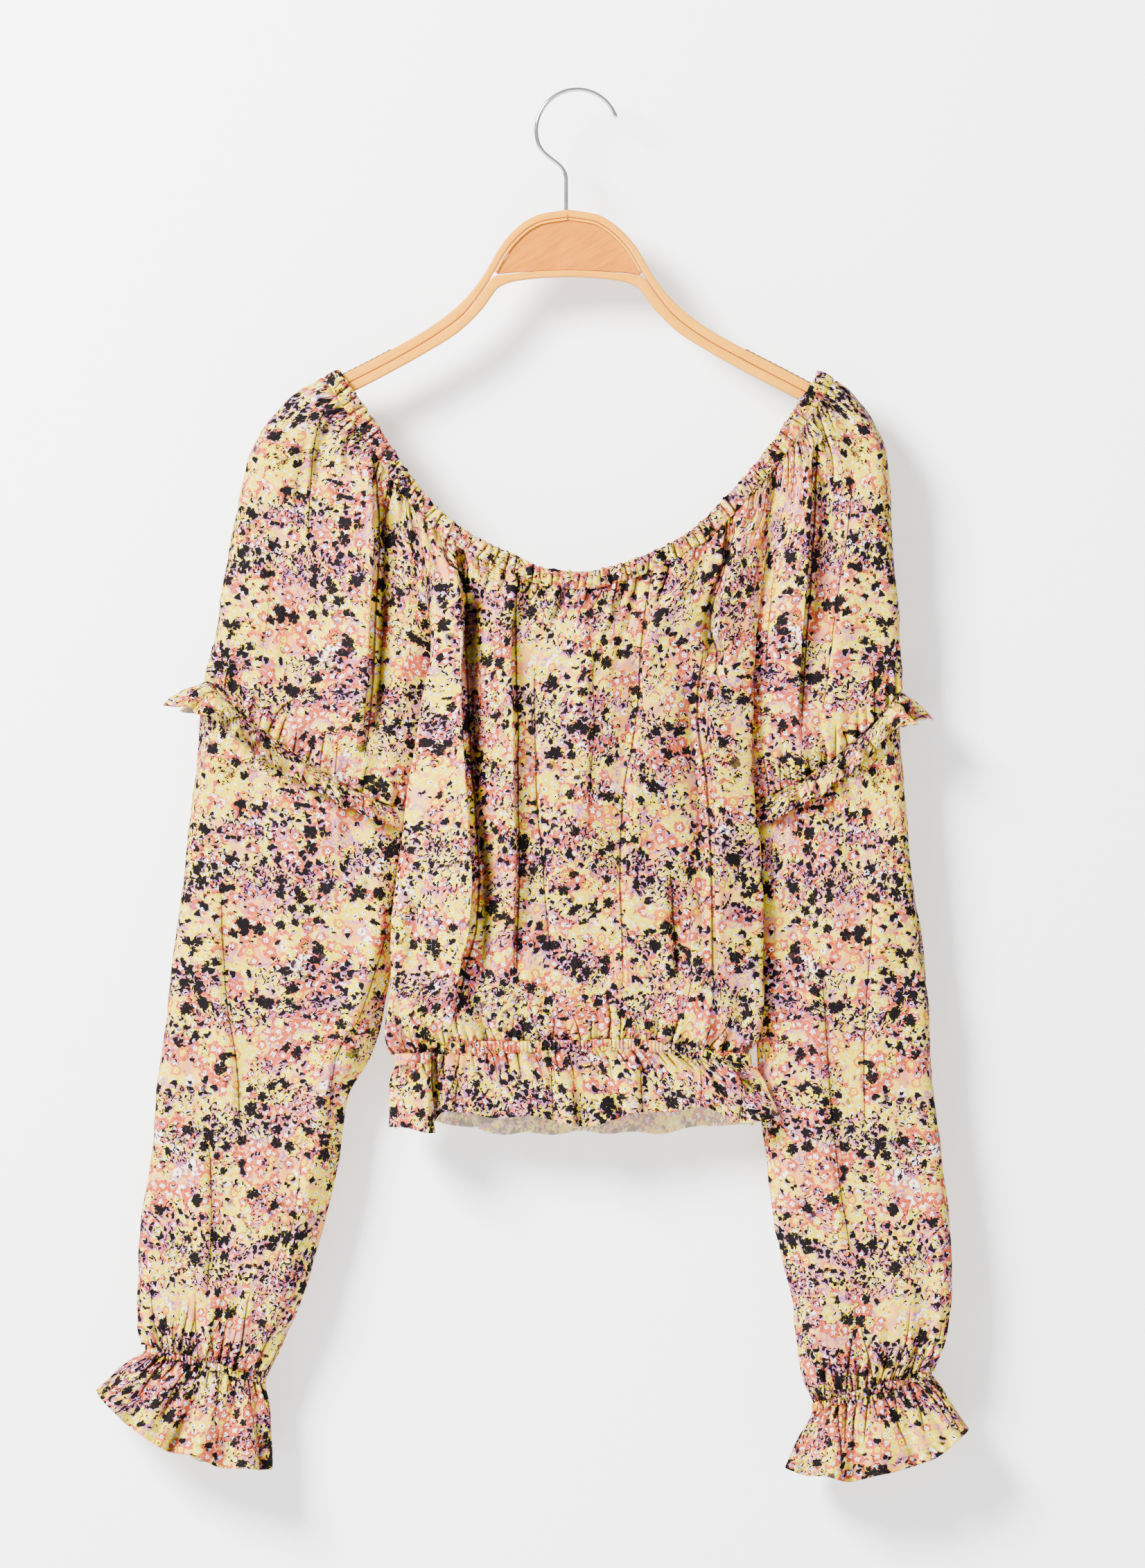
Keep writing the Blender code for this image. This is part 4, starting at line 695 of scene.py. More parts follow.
def bell(far, reach):
    """exp(-(distance / reach) squared): 1 on a line, less on both sides."""
    return np.exp(-(far / reach) ** 2)


def shaded(*shares):
    """Shades laid over one another: what each leaves of the light is multiplied."""
    light = 1.0
    for share in shares:
        light = light * (1 - share)
    return 1 - light


def strewn(points, count, jitter, seed, ring):
    """Chance-laid lines out of an elastic: the dice, each line's place, and a row's lengths.

    The places part the row into equal shares, and each is moved by the jitter within its own.
    The last value gives the signed distance, the shorter way round on a ring.
    """
    dice = np.random.RandomState(seed)
    across = run_across(points, ring)
    total = across[:, -1:]
    across = across[:, :points.shape[1]]
    places = (np.arange(count) + 0.5 + jitter * (dice.rand(count) - 0.5)) / count

    def distance(place, shift):
        away = across - place * total - shift
        return (away + 0.5 * total) % total - 0.5 * total if ring else away

    return dice, places, distance


def creases(points, lines, far, count, length, seed, ring=False):
    """Sharp creases that run out of an elastic, as a height, and added to the painted shade lines.

    Each starts on its own share of the row, sways by a slant and a sine, and dies away at its
    own length. Its height is -exp(-(distance / 1.2) squared), with half as high a ridge beside it.
    """
    dice, places, distance = strewn(points, count, 0.6, seed, ring)
    rise = np.zeros(points.shape[:2])
    for place in places:
        reach = length * np.exp(0.5 * dice.randn())
        deep = 0.3 + 0.7 * dice.rand()
        slant = 0.13 * dice.randn()
        pace = 7.0 + 8.0 * dice.rand()
        away = distance(place, slant * far + 0.9 * np.sin(far / pace + 6.3 * dice.rand()))
        depth = deep * smoothstep((reach - far) / (0.6 * reach)) * ramp(far + 0.5, 2.0)
        rise += depth * (0.9 * bell(away - 2.4, 1.9) - 1.5 * bell(away, 1.2))
        add_shade_line(lines, away, depth)
    return rise


def gathers(points, far, count, height, width, length, seed, ring=False, grow=0.0):
    """Height of the small folds that run out of an elastic.

    Each fold keeps a share of the row's length, wanders a little as it leaves the elastic, gets
    wider, and fades as exp(-(distance / its own length) squared). Ridges and troughs alternate.
    With grow, the folds rise with the distance instead, up to full height at that distance.
    """
    dice, places, distance = strewn(points, count, 0.7, seed, ring)
    rise = np.zeros(points.shape[:2])
    for number, place in enumerate(places):
        wide = width * (0.6 + 0.9 * dice.rand()) * (1 + far / (3.0 * length))
        reach = length * np.exp(0.55 * dice.randn())
        tall = height * (0.45 + dice.rand()) * (1.0 if number % 2 == 0 else -0.55)
        away = distance(place, 0.10 * dice.randn() * far)
        swell = np.clip(far / grow, 0, 1.3) if grow else bell(far, reach)
        rise += tall * bell(away, wide) * swell
    return rise


def unevenness(points, sign, size, seed):
    """A smooth random field from twelve plane waves of about this wavelength, from -1 to 1."""
    dice = np.random.RandomState(seed)
    turn = dice.rand(12) * 2 * np.pi
    pace = 2 * np.pi / (size * (0.7 + 0.8 * dice.rand(12)))
    start = dice.rand(12) * 2 * np.pi
    field = np.zeros(points.shape[:2])
    for angle, speed, phase in zip(turn, pace, start):
        level = speed * (points[..., 0] * np.cos(angle) + 0.7 * points[..., 2] * np.sin(angle))
        field += np.sin(level + phase + 2.1 * sign)
    return field / 3.5


def relief(kind, points, sign, lines, seed, ring=False):
    """The gathers, creases and unevenness that RELIEF gives for a piece, as one height."""
    runs = {TOP: run_down(points), FOOT: run_down(points, False)}
    rise = 0.0
    small_folds, sharp_creases, waves = RELIEF[kind]
    for edge, count, height, width, length, step, *grow in small_folds:
        rise = rise + gathers(points, runs[edge], count, height, width, length, seed + step, ring,
                              *grow)
    for edge, count, length, step in sharp_creases:
        rise = rise + creases(points, lines, runs[edge], count, length, seed + step, ring)
    for height, size, step in waves:
        rise = rise + height * unevenness(points, sign, size, seed + step)
    return rise, runs[TOP], runs[FOOT]


def fold(points, sign, folds, lines, hold=1.0):
    """Raise each crease that lies on this side, by a share that hold gives.

    Height times exp(-(distance / flank width) squared), times a smooth rise and fade along the
    path, moves a point towards its side and, times the lean, in x. The path is where the crest
    comes to lie. A steep flank leaves a painted dark shade line at its foot. Gives back the
    painted shade that the troughs lay on each point, from 0 to 1.
    """
    shade = np.zeros(points.shape[:2])
    x = points[..., 0].copy()
    drop = -points[..., 2]
    for side, full, left, right, lean, start, stop, path in folds:
        path_x, path_drop = np.array(path, dtype=float).T
        fade = ramp(drop - path_drop[0], start) * ramp(path_drop[-1] - drop, stop)
        tall = full * fade * hold
        crest_x = flow(path_drop, path_x, drop)
        away = x - crest_x + lean * tall
        height = tall * bell(away, np.where(away < 0, left, right)) * (sign == side)
        points[..., 1] += side * height
        points[..., 0] += lean * height
        shade = shaded(shade, np.clip(-height * TROUGH_SHADE, 0, 0.9))
        steep = min(left, right)
        if full > 0 and steep < STEEP_FLANK:
            foot = 0.95 * steep * (-1 if left < right else 1)
            depth = fade * hold * (sign == side) * min(1.0, full / FULL_SHADE_LINE_HEIGHT)
            add_shade_line(lines, x + lean * height - crest_x - foot, depth)
    return shade


def outward(points, sign, ring=False):
    """Unit normals of a grid: the cross product of its two directions, turned to its own side."""
    if ring:
        along = np.roll(points, -1, axis=1) - np.roll(points, 1, axis=1)
    else:
        along = np.gradient(points, axis=1)
    out = np.cross(np.gradient(points, axis=0), along)
    out /= np.maximum(np.linalg.norm(out, axis=-1, keepdims=True), 1e-9)
    return out * np.sign(np.sum(out[..., 1] * sign))


def pinch(points, near, share, reach=9.0):
    """Draw the rows beside an elastic in, across the body, by share times a bell."""
    x = points[..., :1]
    middle = 0.5 * (x.min(axis=1, keepdims=True) + x.max(axis=1, keepdims=True))
    x += (middle - x) * (share * bell(near, reach))[..., None]


def rows_of(count, ends=1.3):
    """Row values from 0 to 1, closer together near both ends."""
    t = np.linspace(-1, 1, count + 1)
    return 0.5 + 0.5 * np.sign(t) * (1 - (1 - np.abs(t)) ** ends)


def smoothed(points, reach, ring):
    """The grid averaged along its rows over this many columns, three times over."""
    reach = max(int(reach), 1)
    for _ in range(3):
        mode = "wrap" if ring else "edge"
        wide = np.pad(points, ((0, 0), (reach + 1, reach), (0, 0)), mode=mode)
        total = np.cumsum(wide, axis=1)
        points = (total[:, 2 * reach + 1:] - total[:, :-2 * reach - 1]) / (2 * reach + 1)
    return points


def hollow_shade(points, sign, ring):
    """Painted shade for each point, from 0 to 1: how deep it lies in a crease, below the averaged
    cloth.

    Depth under the average over about 3 mm gives the fine creases, over about 9 mm the folds.
    """
    pitch = np.median(np.linalg.norm(np.diff(points, axis=1), axis=-1))
    shade = np.zeros(points.shape[:2])
    for reach, full, share in SHADE_STEPS:
        mean = smoothed(points, reach / pitch, ring)
        depth = np.sum((mean - points) * outward(mean, sign, ring), axis=-1)
        shade = shaded(shade, share * smoothstep(depth / full))
    return shade


def placed(name, data):
    """A new object in the scene, at the origin."""
    obj = bpy.data.objects.new(name, data)
    bpy.context.scene.collection.objects.link(obj)
    return obj


def grid_mesh(name, points, ring, across, down, flip=False):
    """A mesh of quads on a grid, with lengths across and down the cloth as its UV map."""
    height, width = points.shape[:2]
    index = np.arange(height * width).reshape(height, width)
    if ring:
        index = np.concatenate([index, index[:, :1]], axis=1)

    def corners(grid):
        four = [grid[:-1, :-1], grid[1:, :-1], grid[1:, 1:], grid[:-1, 1:]]
        return np.stack(four[::-1] if flip else four, axis=2)

    mesh = bpy.data.meshes.new(name)
    quads = corners(index).reshape(-1, 4)
    mesh.from_pydata((points.reshape(-1, 3) * MM).tolist(), [], quads.tolist())
    layer = mesh.uv_layers.new(name=UV_NAME)
    layer.data.foreach_set("uv", corners(np.stack([across, down], axis=-1) * UV_SCALE).reshape(-1))
    mesh.shade_smooth()
    return placed(name, mesh)


def turned_in(points, sign, ring):
    """Whether quads in grid order would face into the cloth's inside."""
    along = np.roll(points, -1, axis=1) - points if ring else np.gradient(points, axis=1)
    out = np.cross(np.gradient(points, axis=0), along)
    return np.sum(out[..., 1] * sign) < 0


def cloth(name, points, sign, ring=False, down=None, middle=0.5, shade=0.0, lines=None):
    """One piece of cloth in place of a node: a thin wall on the grid, printed side out."""
    across = run_across(points, ring).mean(axis=0, keepdims=True)
    centre = int(middle * (points.shape[1] - 1))
    across = (across - across[:, centre:centre + 1]) * np.ones((len(points), 1))
    if down is None:
        down = -points[..., 2]
    if ring:
        down = np.concatenate([down, down[:, :1]], axis=1)
    obj = grid_mesh(name, points, ring, across, down, turned_in(points, sign, ring))
    # Painted shade and painted shade lines, kept on the points for the print to darken its colour
    # by
    deep = shaded(hollow_shade(points, sign, ring), shade)
    lines = no_shade_lines(points) if lines is None else lines
    for layer, values in zip((SHADE_NAME, *SHADE_LINE_NAMES), (deep, *lines)):
        made = obj.data.attributes.new(layer, "FLOAT", "POINT")
        made.data.foreach_set("value", values.reshape(-1))
    obj.data.materials.append(FINISHES["print_cloth"])
    obj.data.materials.append(FINISHES["print_reverse"])
    wall = obj.modifiers.new("wall", "SOLIDIFY")
    wall.thickness = THICKNESS * MM
    wall.offset = 0.0
    wall.material_offset = 1
    wall.material_offset_rim = 0
    node, width, length, area, held, *holders = SHEETS[name]
    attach(obj, "root")
    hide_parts(node)
    return obj


def with_allowance(points, side):
    """The same cloth with a narrow seam allowance at both ends, turned in behind its neighbour."""
    step = 0.35 * ALLOWANCE * np.array([2, -side, 0])
    ends = points[:, :1] + step * (-1, 1, 1), points[:, -1:] + step
    return np.concatenate([ends[0], points, ends[1]], axis=1)


def body_cloth():
    """Front and back panels, from under the casing to the waist elastic."""
    for name, side, count, seed in (("front_panel_cloth", FRONT, 380, 11),
                                    ("back_panel_cloth", BACK, 300, 12)):
        points = body_panel(side, lambda x: neck_seam_drop(x) - TUCK_UNDER, waist_top, rows_of(84),
                            body_columns(count))
        edge = side_hold(points, 14)
        lines = no_shade_lines(points)
        shade = fold(points, side, BODY_FOLDS, lines, edge)
        rise, far, near = relief("panel", points, side, lines, seed)
        rise += SINK_DEPTH * (bell(far, 4.0) + bell(near, 3.0))
        points += outward(points, side) * (rise * edge)[..., None]
        # Painted shade just below the casing's seam and just above the waist elastic
        shade = shaded(shade, 0.4 * bell(far, 3.0), 0.25 * bell(near, 2.0))
        pinch(points, near, WAIST_PINCH)
        shade, *lines = [np.pad(layer, ((0, 0), (1, 1)), mode="edge") for layer in (shade, *lines)]
        cloth(name, with_allowance(points, side), side, shade=shade, lines=lines)


def ribs_of(points, count, seed, swell):
    """The shirred elastic: tight ripples on a band that swells between two rows of stitches."""
    bulge = swell * np.sin(np.pi * BAND_ROWS)[:, None] ** 0.7
    ribs = gathers(points, 0 * points[..., 0], count, 0.85, 0.42, 30, seed, ring=True)
    # Painted shade in the troughs between the ripples
    return ribs + bulge, RIB_SHADE * smoothstep(0.30 - ribs * 1.6)


def waist_cloth():
    """The elastic at the waist, a closed loop of the body's front and back."""
    front, back = (body_panel(side, lambda x: waist_top(x) - 0.8, lambda x: waist_bottom(x) + 0.8,
                              BAND_ROWS, body_columns(count))
                   for side, count in ((FRONT, 1000), (BACK, 800)))
    points = np.concatenate([front, back[:, -2:0:-1]], axis=1)
    sign = np.where(np.arange(points.shape[1]) < front.shape[1], FRONT, BACK)
    pinch(points, 0 * points[..., 0], WAIST_PINCH)
    lines = no_shade_lines(points)
    shade = fold(points, sign, PLEAT, lines)
    rise, rib_shade = ribs_of(points, 390, 21, 0.9)
    points += outward(points, sign, True) * rise[..., None]
    # Painted shade in the pleat's trough and between the ripples
    cloth("waist_elastic_cloth", points, sign, True, middle=0.28,
          shade=shaded(shade, 0.6 * rib_shade), lines=lines)


def hem_cloth():
    """The frill below the waist, front and back, which opens into waves towards its hem."""
    for name, side, count, seed in (("hem_frill_cloth_front", FRONT, 300, 31),
                                    ("hem_frill_cloth_back", BACK, 260, 32)):
        points = body_panel(side, lambda x: waist_bottom(x) - 0.5, hem(side), rows_of(22, 1.2),
                            body_columns(count))
        edge = side_hold(points, 9)
        hold = side_hold(points, 5, 9)
        lines = no_shade_lines(points)
        pinch(points, run_down(points), WAIST_PINCH)
        shade = fold(points, side, PLEAT + HEM_FOLDS, lines, hold)
        rise, far, near = relief("hem_frill", points, side, lines, seed)
        rise -= 0.35 * bell(near - HEM_WIDTH, STITCH_WIDTH)
        wave = unevenness(points * (1, 1, 0), side, 50, seed + 3)
        points[..., 2] += 4.2 * (far / far.max()) ** 2 * edge * wave
        points += outward(points, side) * (rise * edge)[..., None]
        # Painted shade just below the waist elastic and along the hem's stitching
        shade = shaded(shade, 0.3 * bell(far, 2.0), 0.25 * bell(near - HEM_WIDTH, STITCH_WIDTH))
        cloth(name, points, side, shade=shade, lines=lines)


def casing_cloth():
    """The gathered neckline: a flat tube of cloth round an elastic, in one loop.

    Rows run from the inside seam up to the edge, over it and down the outside, at an offset from
    the strip between the neckline and its seam that swells in the middle.
    """
    turn = NECK_ROUND * (1 - np.sin(np.linspace(np.pi / 2, 0, 14)) ** SQUARED) * EDGE_RUN
    low = NECK_EDGE["x"][0] + turn
    high = NECK_EDGE["x"][-1] - turn
    x = np.concatenate([low, np.linspace(low[-1], high[-1], 560)[1:-1], high[::-1]])
    drop = neck_edge(x)
    seam_x, seam_drop = neck_seam(x)
    loops = []
    for side in (FRONT, BACK):
        near, far = (neck_depth(x - x[end] + seam_x[end], drop - drop[end] + seam_drop[end], side)
                     for end in (0, -1))
        top = np.stack([x, np.where(x < 0, near, far), -drop], axis=-1)
        foot = np.stack([seam_x, neck_depth(seam_x, seam_drop, side), -seam_drop], axis=-1)
        loops.append(np.stack([top, foot]))
    strip = np.concatenate([loops[0], loops[1][:, -2:0:-1]], axis=1)
    sign = np.where(np.arange(strip.shape[1]) < len(x), FRONT, BACK)
    share, offset, lift = (CASING_TURN[name] for name in ("share", "offset", "lift"))
    points = strip[0] + share[:, None, None] * (strip[1] - strip[0])
    out = outward(strip, sign, True)[:1]
    up = (strip[0] - strip[1]) / np.linalg.norm(strip[0] - strip[1], axis=-1, keepdims=True)
    far = (CASING_WIDTH * share)[:, None] * np.ones(points.shape[:2])
    waves = gathers(points, far, 150, 1.9, 1.1, 60, 41, ring=True)
    waves += gathers(points, far, 70, 1.1, 2.6, 60, 42, ring=True)
    lines = no_shade_lines(points)
    waves += creases(points, lines, far, 110, 30, 43, ring=True)
    outer = smoothstep((offset + 0.9) / 1.8)[:, None]
    points = points + out * (offset[:, None] + waves * blend(0.25, 1.0, outer))[..., None]
    crest = lift[:, None] + 0.45 * waves * np.exp(-share[:, None] / 0.16)
    points = points + up * crest[..., None]
    steps = np.linalg.norm(np.diff(points, axis=0), axis=-1).mean(axis=1)
    down = np.concatenate([[0], np.cumsum(steps)])[:, None] * np.ones(points.shape[:2])
    cloth("neckline_casing_cloth", points, sign, True, down=down, middle=0.25, lines=lines)


def sleeve_axis(points):
    """How far a point lies along the line between the middles of the end rows."""
    start = points[0].mean(axis=0)
    way = points[-1].mean(axis=0) - start
    return (points - start) @ (way / np.linalg.norm(way))


def sleeve_cloth(which):
    """Upper and lower sleeve, gathered at the neckline, at the ruffle and at the wrist."""
    places = sleeve_columns(112, 18)
    sign = places[2]
    seed = 50 if which == "left" else 70
    points = upper_sleeve(which, rows_of(66), places)
    edge = side_hold(points, 14)
    lines = no_shade_lines(points)
    shade = fold(points, sign, SLEEVE_FOLDS[which], lines, edge)
    rise, far, near = relief("upper_sleeve", points, sign, lines, seed)
    points += outward(points, sign) * (rise * edge * ramp(far + 1.0, 3.0))[..., None]
    # Painted shade just below the casing's seam and just above the gathered line at the ruffle
    shade = shaded(shade, 0.4 * bell(far, 3.0), 0.25 * bell(near, 2.5))
    cloth("upper_sleeve_cloth_" + which, points, sign, down=sleeve_axis(points), shade=shade,
          lines=lines)

    sign = sign[:-1]
    points = lower_sleeve(which, rows_of(104), places)[:, :-1]
    lines = no_shade_lines(points)
    shade = fold(points, sign, SLEEVE_FOLDS[which], lines)
    rise, far, near = relief("lower_sleeve", points, sign, lines, seed, True)
    points += outward(points, sign, True) * rise[..., None]
    # Painted shade on the sleeve under the ruffle and just below its edge, and just above the wrist
    # elastic
    below = (RUFFLE_START + RUFFLE_REACH) * far[-1:].mean() + 1.0
    under = 0.5 * bell(np.maximum(far - below, 0.0), 3.5)
    pinch(points, near, WRIST_PINCH, 10.0)
    cloth("lower_sleeve_cloth_" + which, points, sign, True, down=sleeve_axis(points),
          shade=shaded(shade, under, 0.4 * bell(near, 2.5)), lines=lines)


def ruffle_cloth(which):
    """The ruffle over the elbow: a strip that stands off the sleeve and waves towards its edge."""
    places = tuple(part[:-1] for part in sleeve_columns(110, 34))
    share, angle, sign = places
    t = np.linspace(0, 1, 13)
    base = lower_sleeve(which, RUFFLE_START + RUFFLE_REACH * t, places)
    t = t[:, None]
    down = base[-1] - base[0]
    around = np.roll(base[0], -1, axis=0) - np.roll(base[0], 1, axis=0)
    out = np.cross(around, down)
    out /= np.linalg.norm(out, axis=-1, keepdims=True)
    out *= np.sign(np.sum(out * (base[0] - base[0].mean(axis=0)), axis=-1).mean())
    free = smoothstep(share * 5)
    tip = bell(angle - np.pi / 2, 0.9) * (angle > 0)
    stand = RUFFLE_STAND + (RUFFLE_CLEAR + 1.2) * smoothstep(t / 0.4) * blend(0.25, 1.0, free)
    stand = stand + (RUFFLE_FLARE * free + RUFFLE_TIP * tip) * t
    points = base + out * stand[..., None]
    seed = 90 if which == "left" else 95
    far = run_down(points)
    lines = no_shade_lines(points)
    waves = gathers(points, far, 76, 1.9, 1.4, 12, seed, True)
    waves += gathers(points, far, 30, 6.4, 3.4, 30, seed + 1, True, 16)
    waves += creases(points, lines, far, 44, 12, seed + 2, True)
    edge_wave = gathers(points, far, 34, 3.0, 4.0, 30, seed + 3, True, 17) * free
    waves = np.maximum(waves * free, -0.7 * stand)
    way = down / np.linalg.norm(down, axis=-1, keepdims=True)
    points = points + out * waves[..., None] + way * edge_wave[..., None]
    # Painted shade along the ruffle's seam and in the troughs of its waves
    shade = np.clip(0.3 * bell(far, 2.0) + np.clip(-waves / 3.5, 0, 0.6), 0, 0.8)
    run = run_down(points).mean(axis=1, keepdims=True) * np.ones(points.shape[:2])
    cloth("elbow_ruffle_cloth_" + which, points, sign, True, down=run, shade=shade, lines=lines)


def cuff_cloth(which):
    """The shirred elastic at the wrist and the frill that flares below it."""
    places = sleeve_columns(340, 40)
    sign = places[2][:-1]
    seed = 100 if which == "left" else 110
    wrist = lower_sleeve(which, (1.0,), places)[0, :-1]
    points = wrist - CUFF_BAND_HEIGHT * BAND_ROWS[:, None, None] * [0, 0, 1]
    pinch(points, 0 * points[..., 0], WRIST_PINCH)
    rise, shade = ribs_of(points, 140, seed, 0.8)
    points += outward(points, sign, True) * rise[..., None]
    cloth("wrist_elastic_cloth_" + which, points, sign, True, shade=shade)

    places = sleeve_columns(130, 22)
    share, angle, sign = (part[:-1] for part in places)
    points = cuff_frill(which, rows_of(24, 1.2), places)[:, :-1]
    flat = np.cos(angle) * np.sin(0.5 * np.pi * np.clip(share * 6, 0, 1))
    far = run_down(points)
    near = run_down(points, False)
    lines = no_shade_lines(points)
    rise = gathers(points, far, 66, 2.0, 1.4, 14, seed + 1, True)
    rise += gathers(points, far, 24, 5.4, 4.6, 30, seed + 2, True, 42) * blend(0.3, 1.0, flat)
    rise += creases(points, lines, far, 30, 30, seed + 3, True)
    rise -= 0.3 * bell(near - HEM_WIDTH, STITCH_WIDTH)
    wave = unevenness(points * (1, 1, 0), sign, 40, seed + 4)
    points[..., 2] += 1.6 * (far / far.max()) ** 2 * wave
    # Painted shade just below the wrist elastic and along the frill's hem stitching
    shade = shaded(0.4 * bell(far, 2.5), 0.25 * bell(near - HEM_WIDTH, STITCH_WIDTH))
    pinch(points, far, WRIST_PINCH, 10.0)
    points += outward(points, sign, True) * rise[..., None]
    cloth("wrist_frill_cloth_" + which, points, sign, True, shade=shade, lines=lines)


class Wire:
    """A value in a material: arithmetic on it adds Math nodes."""

    def __init__(self, board, socket):
        self.board = board
        self.socket = socket

    def __add__(self, other):
        return self.board.maths("ADD", self, other)

    def __sub__(self, other):
        return self.board.maths("SUBTRACT", self, other)

    def __rsub__(self, other):
        return self.board.maths("SUBTRACT", other, self)

    def __mul__(self, other):
        return self.board.maths("MULTIPLY", self, other)

    def __truediv__(self, other):
        return self.board.maths("DIVIDE", self, other)

    def __pow__(self, other):
        return self.board.maths("POWER", self, other)

    __radd__ = __add__
    __rmul__ = __mul__


class Board:
    """The nodes of one material."""

    def __init__(self, name):
        self.material = bpy.data.materials.new(name)
        self.material.use_nodes = True
        self.tree = self.material.node_tree
        self.surface = self.tree.nodes["Principled BSDF"]

    def node(self, kind, settings=(), **inputs):
        """Any node: settings first, then each socket's value or link, by name or by number."""
        made = self.tree.nodes.new("ShaderNode" + kind)
        for name, value in dict(settings).items():
            setattr(made, name, value)
        for name, value in inputs.items():
            socket = int(name[1:]) if name[1:].isdigit() else name.replace("_", " ")
            self.feed(made.inputs[socket], value)
        return made

    def feed(self, socket, value):
        if isinstance(value, Wire):
            self.tree.links.new(value.socket, socket)
        else:
            socket.default_value = value

    def out(self, node, name=0):
        return Wire(self, node.outputs[name])

    def maths(self, operation, *values, clamp=False):
        sockets = {"n%d" % i: value for i, value in enumerate(values)}
        return self.out(self.node("Math", {"operation": operation, "use_clamp": clamp}, **sockets))

    def vectors(self, operation, *values):
        sockets = {"n%d" % i: value for i, value in enumerate(values)}
        made = self.node("VectorMath", {"operation": operation}, **sockets)
        return self.out(made, "Value" if operation == "LENGTH" else "Vector")

    def scaled(self, vector, size):
        made = self.node("VectorMath", {"operation": "SCALE"}, n0=vector, Scale=size)
        return self.out(made, "Vector")

    def moved(self, vector, x, y):
        return self.vectors("ADD", vector, (x, y, 0.0))

    def stretched(self, vector):
        """The place that a patch's noise is read at, drawn out along the rows of flowers."""
        return self.vectors("MULTIPLY", vector, (PATCH_STRETCH, 1.0, 1.0))

    def cosine(self, angle):
        return self.maths("COSINE", angle)

    def size_of(self, value):
        return self.maths("ABSOLUTE", value)

    def on_cloth(self, scale=1.0):
        """The place on the cloth from its UV map, in millimetres times the scale."""
        return self.scaled(self.out(self.node("UVMap", {"uv_map": UV_NAME})), scale / UV_SCALE)

    def on_object(self):
        """The place on the object, in millimetres."""
        return self.scaled(self.out(self.node("TexCoord"), "Object"), 1 / MM)

    def attribute(self, name):
        return self.out(self.node("Attribute", {"attribute_name": name}), "Fac")

    def step(self, value, low, high):
        """0 below low, 1 above high, smooth between; turned round where low is greater."""
        top = (1.0, 0.0) if low > high else (0.0, 1.0)
        low, high = min(low, high), max(low, high)
        made = self.node("MapRange", {"interpolation_type": "SMOOTHSTEP"}, Value=value,
                         From_Min=low, From_Max=high, To_Min=top[0], To_Max=top[1])
        return self.out(made)

    def mix(self, share, first, second):
        made = self.node("Mix", {"data_type": "RGBA"}, n0=share, n6=first, n7=second)
        return self.out(made, 2)

    def lay(self, share, shade):
        """Another colour over the board's own, by this share."""
        self.colour = self.mix(share, self.colour, shade)

    def noise(self, vector, size, detail=2.0, flat=True):
        settings = {"noise_dimensions": "2D" if flat else "3D"}
        made = self.node("TexNoise", settings, Vector=vector, Scale=1.0 / size, Detail=detail)
        return self.out(made, "Fac")

    def threads(self, vector, way):
        made = self.node("TexWave", {"wave_type": "BANDS", "bands_direction": way}, Vector=vector,
                         Scale=0.75, Distortion=0.6, Detail=0.0)
        return self.out(made)

    def parts(self, vector):
        made = self.node("SeparateXYZ", (), Vector=vector)
        return [self.out(made, i) for i in range(3)]

    def joined(self, x, y, z=0.0):
        return self.out(self.node("CombineXYZ", (), X=x, Y=y, Z=z))

    def finish(self, colour, roughness, bump=None, strength=0.3, distance=0.0002, **fixed):
        self.feed(self.surface.inputs["Base Color"], colour)
        self.feed(self.surface.inputs["Roughness"], roughness)
        for name, value in fixed.items():
            self.surface.inputs[name.replace("_", " ")].default_value = value
        if bump is not None:
            made = self.node("Bump", (), Strength=strength, Distance=distance, Height=bump)
            self.feed(self.surface.inputs["Normal"], self.out(made))
        return self.material


def hue(code):
    """A colour for the shader from its usual six-figure code."""
    parts = [int(code[i:i + 2], 16) / 255 for i in (1, 3, 5)]
    return (*[part / 12.92 if part <= 0.04045 else ((part + 0.055) / 1.055) ** 2.4
              for part in parts], 1.0)


def scatter(board, at, cell, shift, loose):
    """A net of cells: each cell's middle, the place as seen from it, and three chances."""
    shifted = board.moved(at, *shift)
    net = board.node("TexVoronoi", {"voronoi_dimensions": "2D", "feature": "F1"}, Vector=shifted,
                     Scale=1.0 / cell, Randomness=loose)
    middle = board.out(net, "Position")
    chance = board.node("SeparateColor", (), Color=board.out(net, "Color"))
    chances = [board.out(chance, i) for i in range(3)]
    return middle, board.vectors("SUBTRACT", shifted, middle), chances


def blossoms(board, at, cell, size, notch, seed, share, patch=None):
    """One scatter of five-petalled blossoms: their reach (1 at the petals' edge) and presence.

    Each cell of a scattered net holds one blossom. Its edge lies at size times 1 - notch +
    notch * |cos(2.5 * angle)|, turned and sized by chance, and a share of the cells stay empty.
    """
    middle, local, (turn, growth, place) = scatter(board, at, cell, (seed * 17.3, seed * 9.1), 0.85)
    x, y, _ = board.parts(local)
    far = board.vectors("LENGTH", local)
    angle = board.maths("ARCTAN2", y, x) + turn * FULL_TURN
    rays = board.size_of(board.cosine(angle * 2.5))
    lobe = rays ** 0.6 * notch + (1 - notch)
    reach = far / (lobe * (growth * 0.45 + 0.78) * size)
    if patch:
        density = board.noise(board.stretched(middle), patch * 0.75, 1.0)
        place = place * 0.35 + density * 1.9 - 0.625
    return reach, board.step(place, share + 0.01, share - 0.01), rays, far


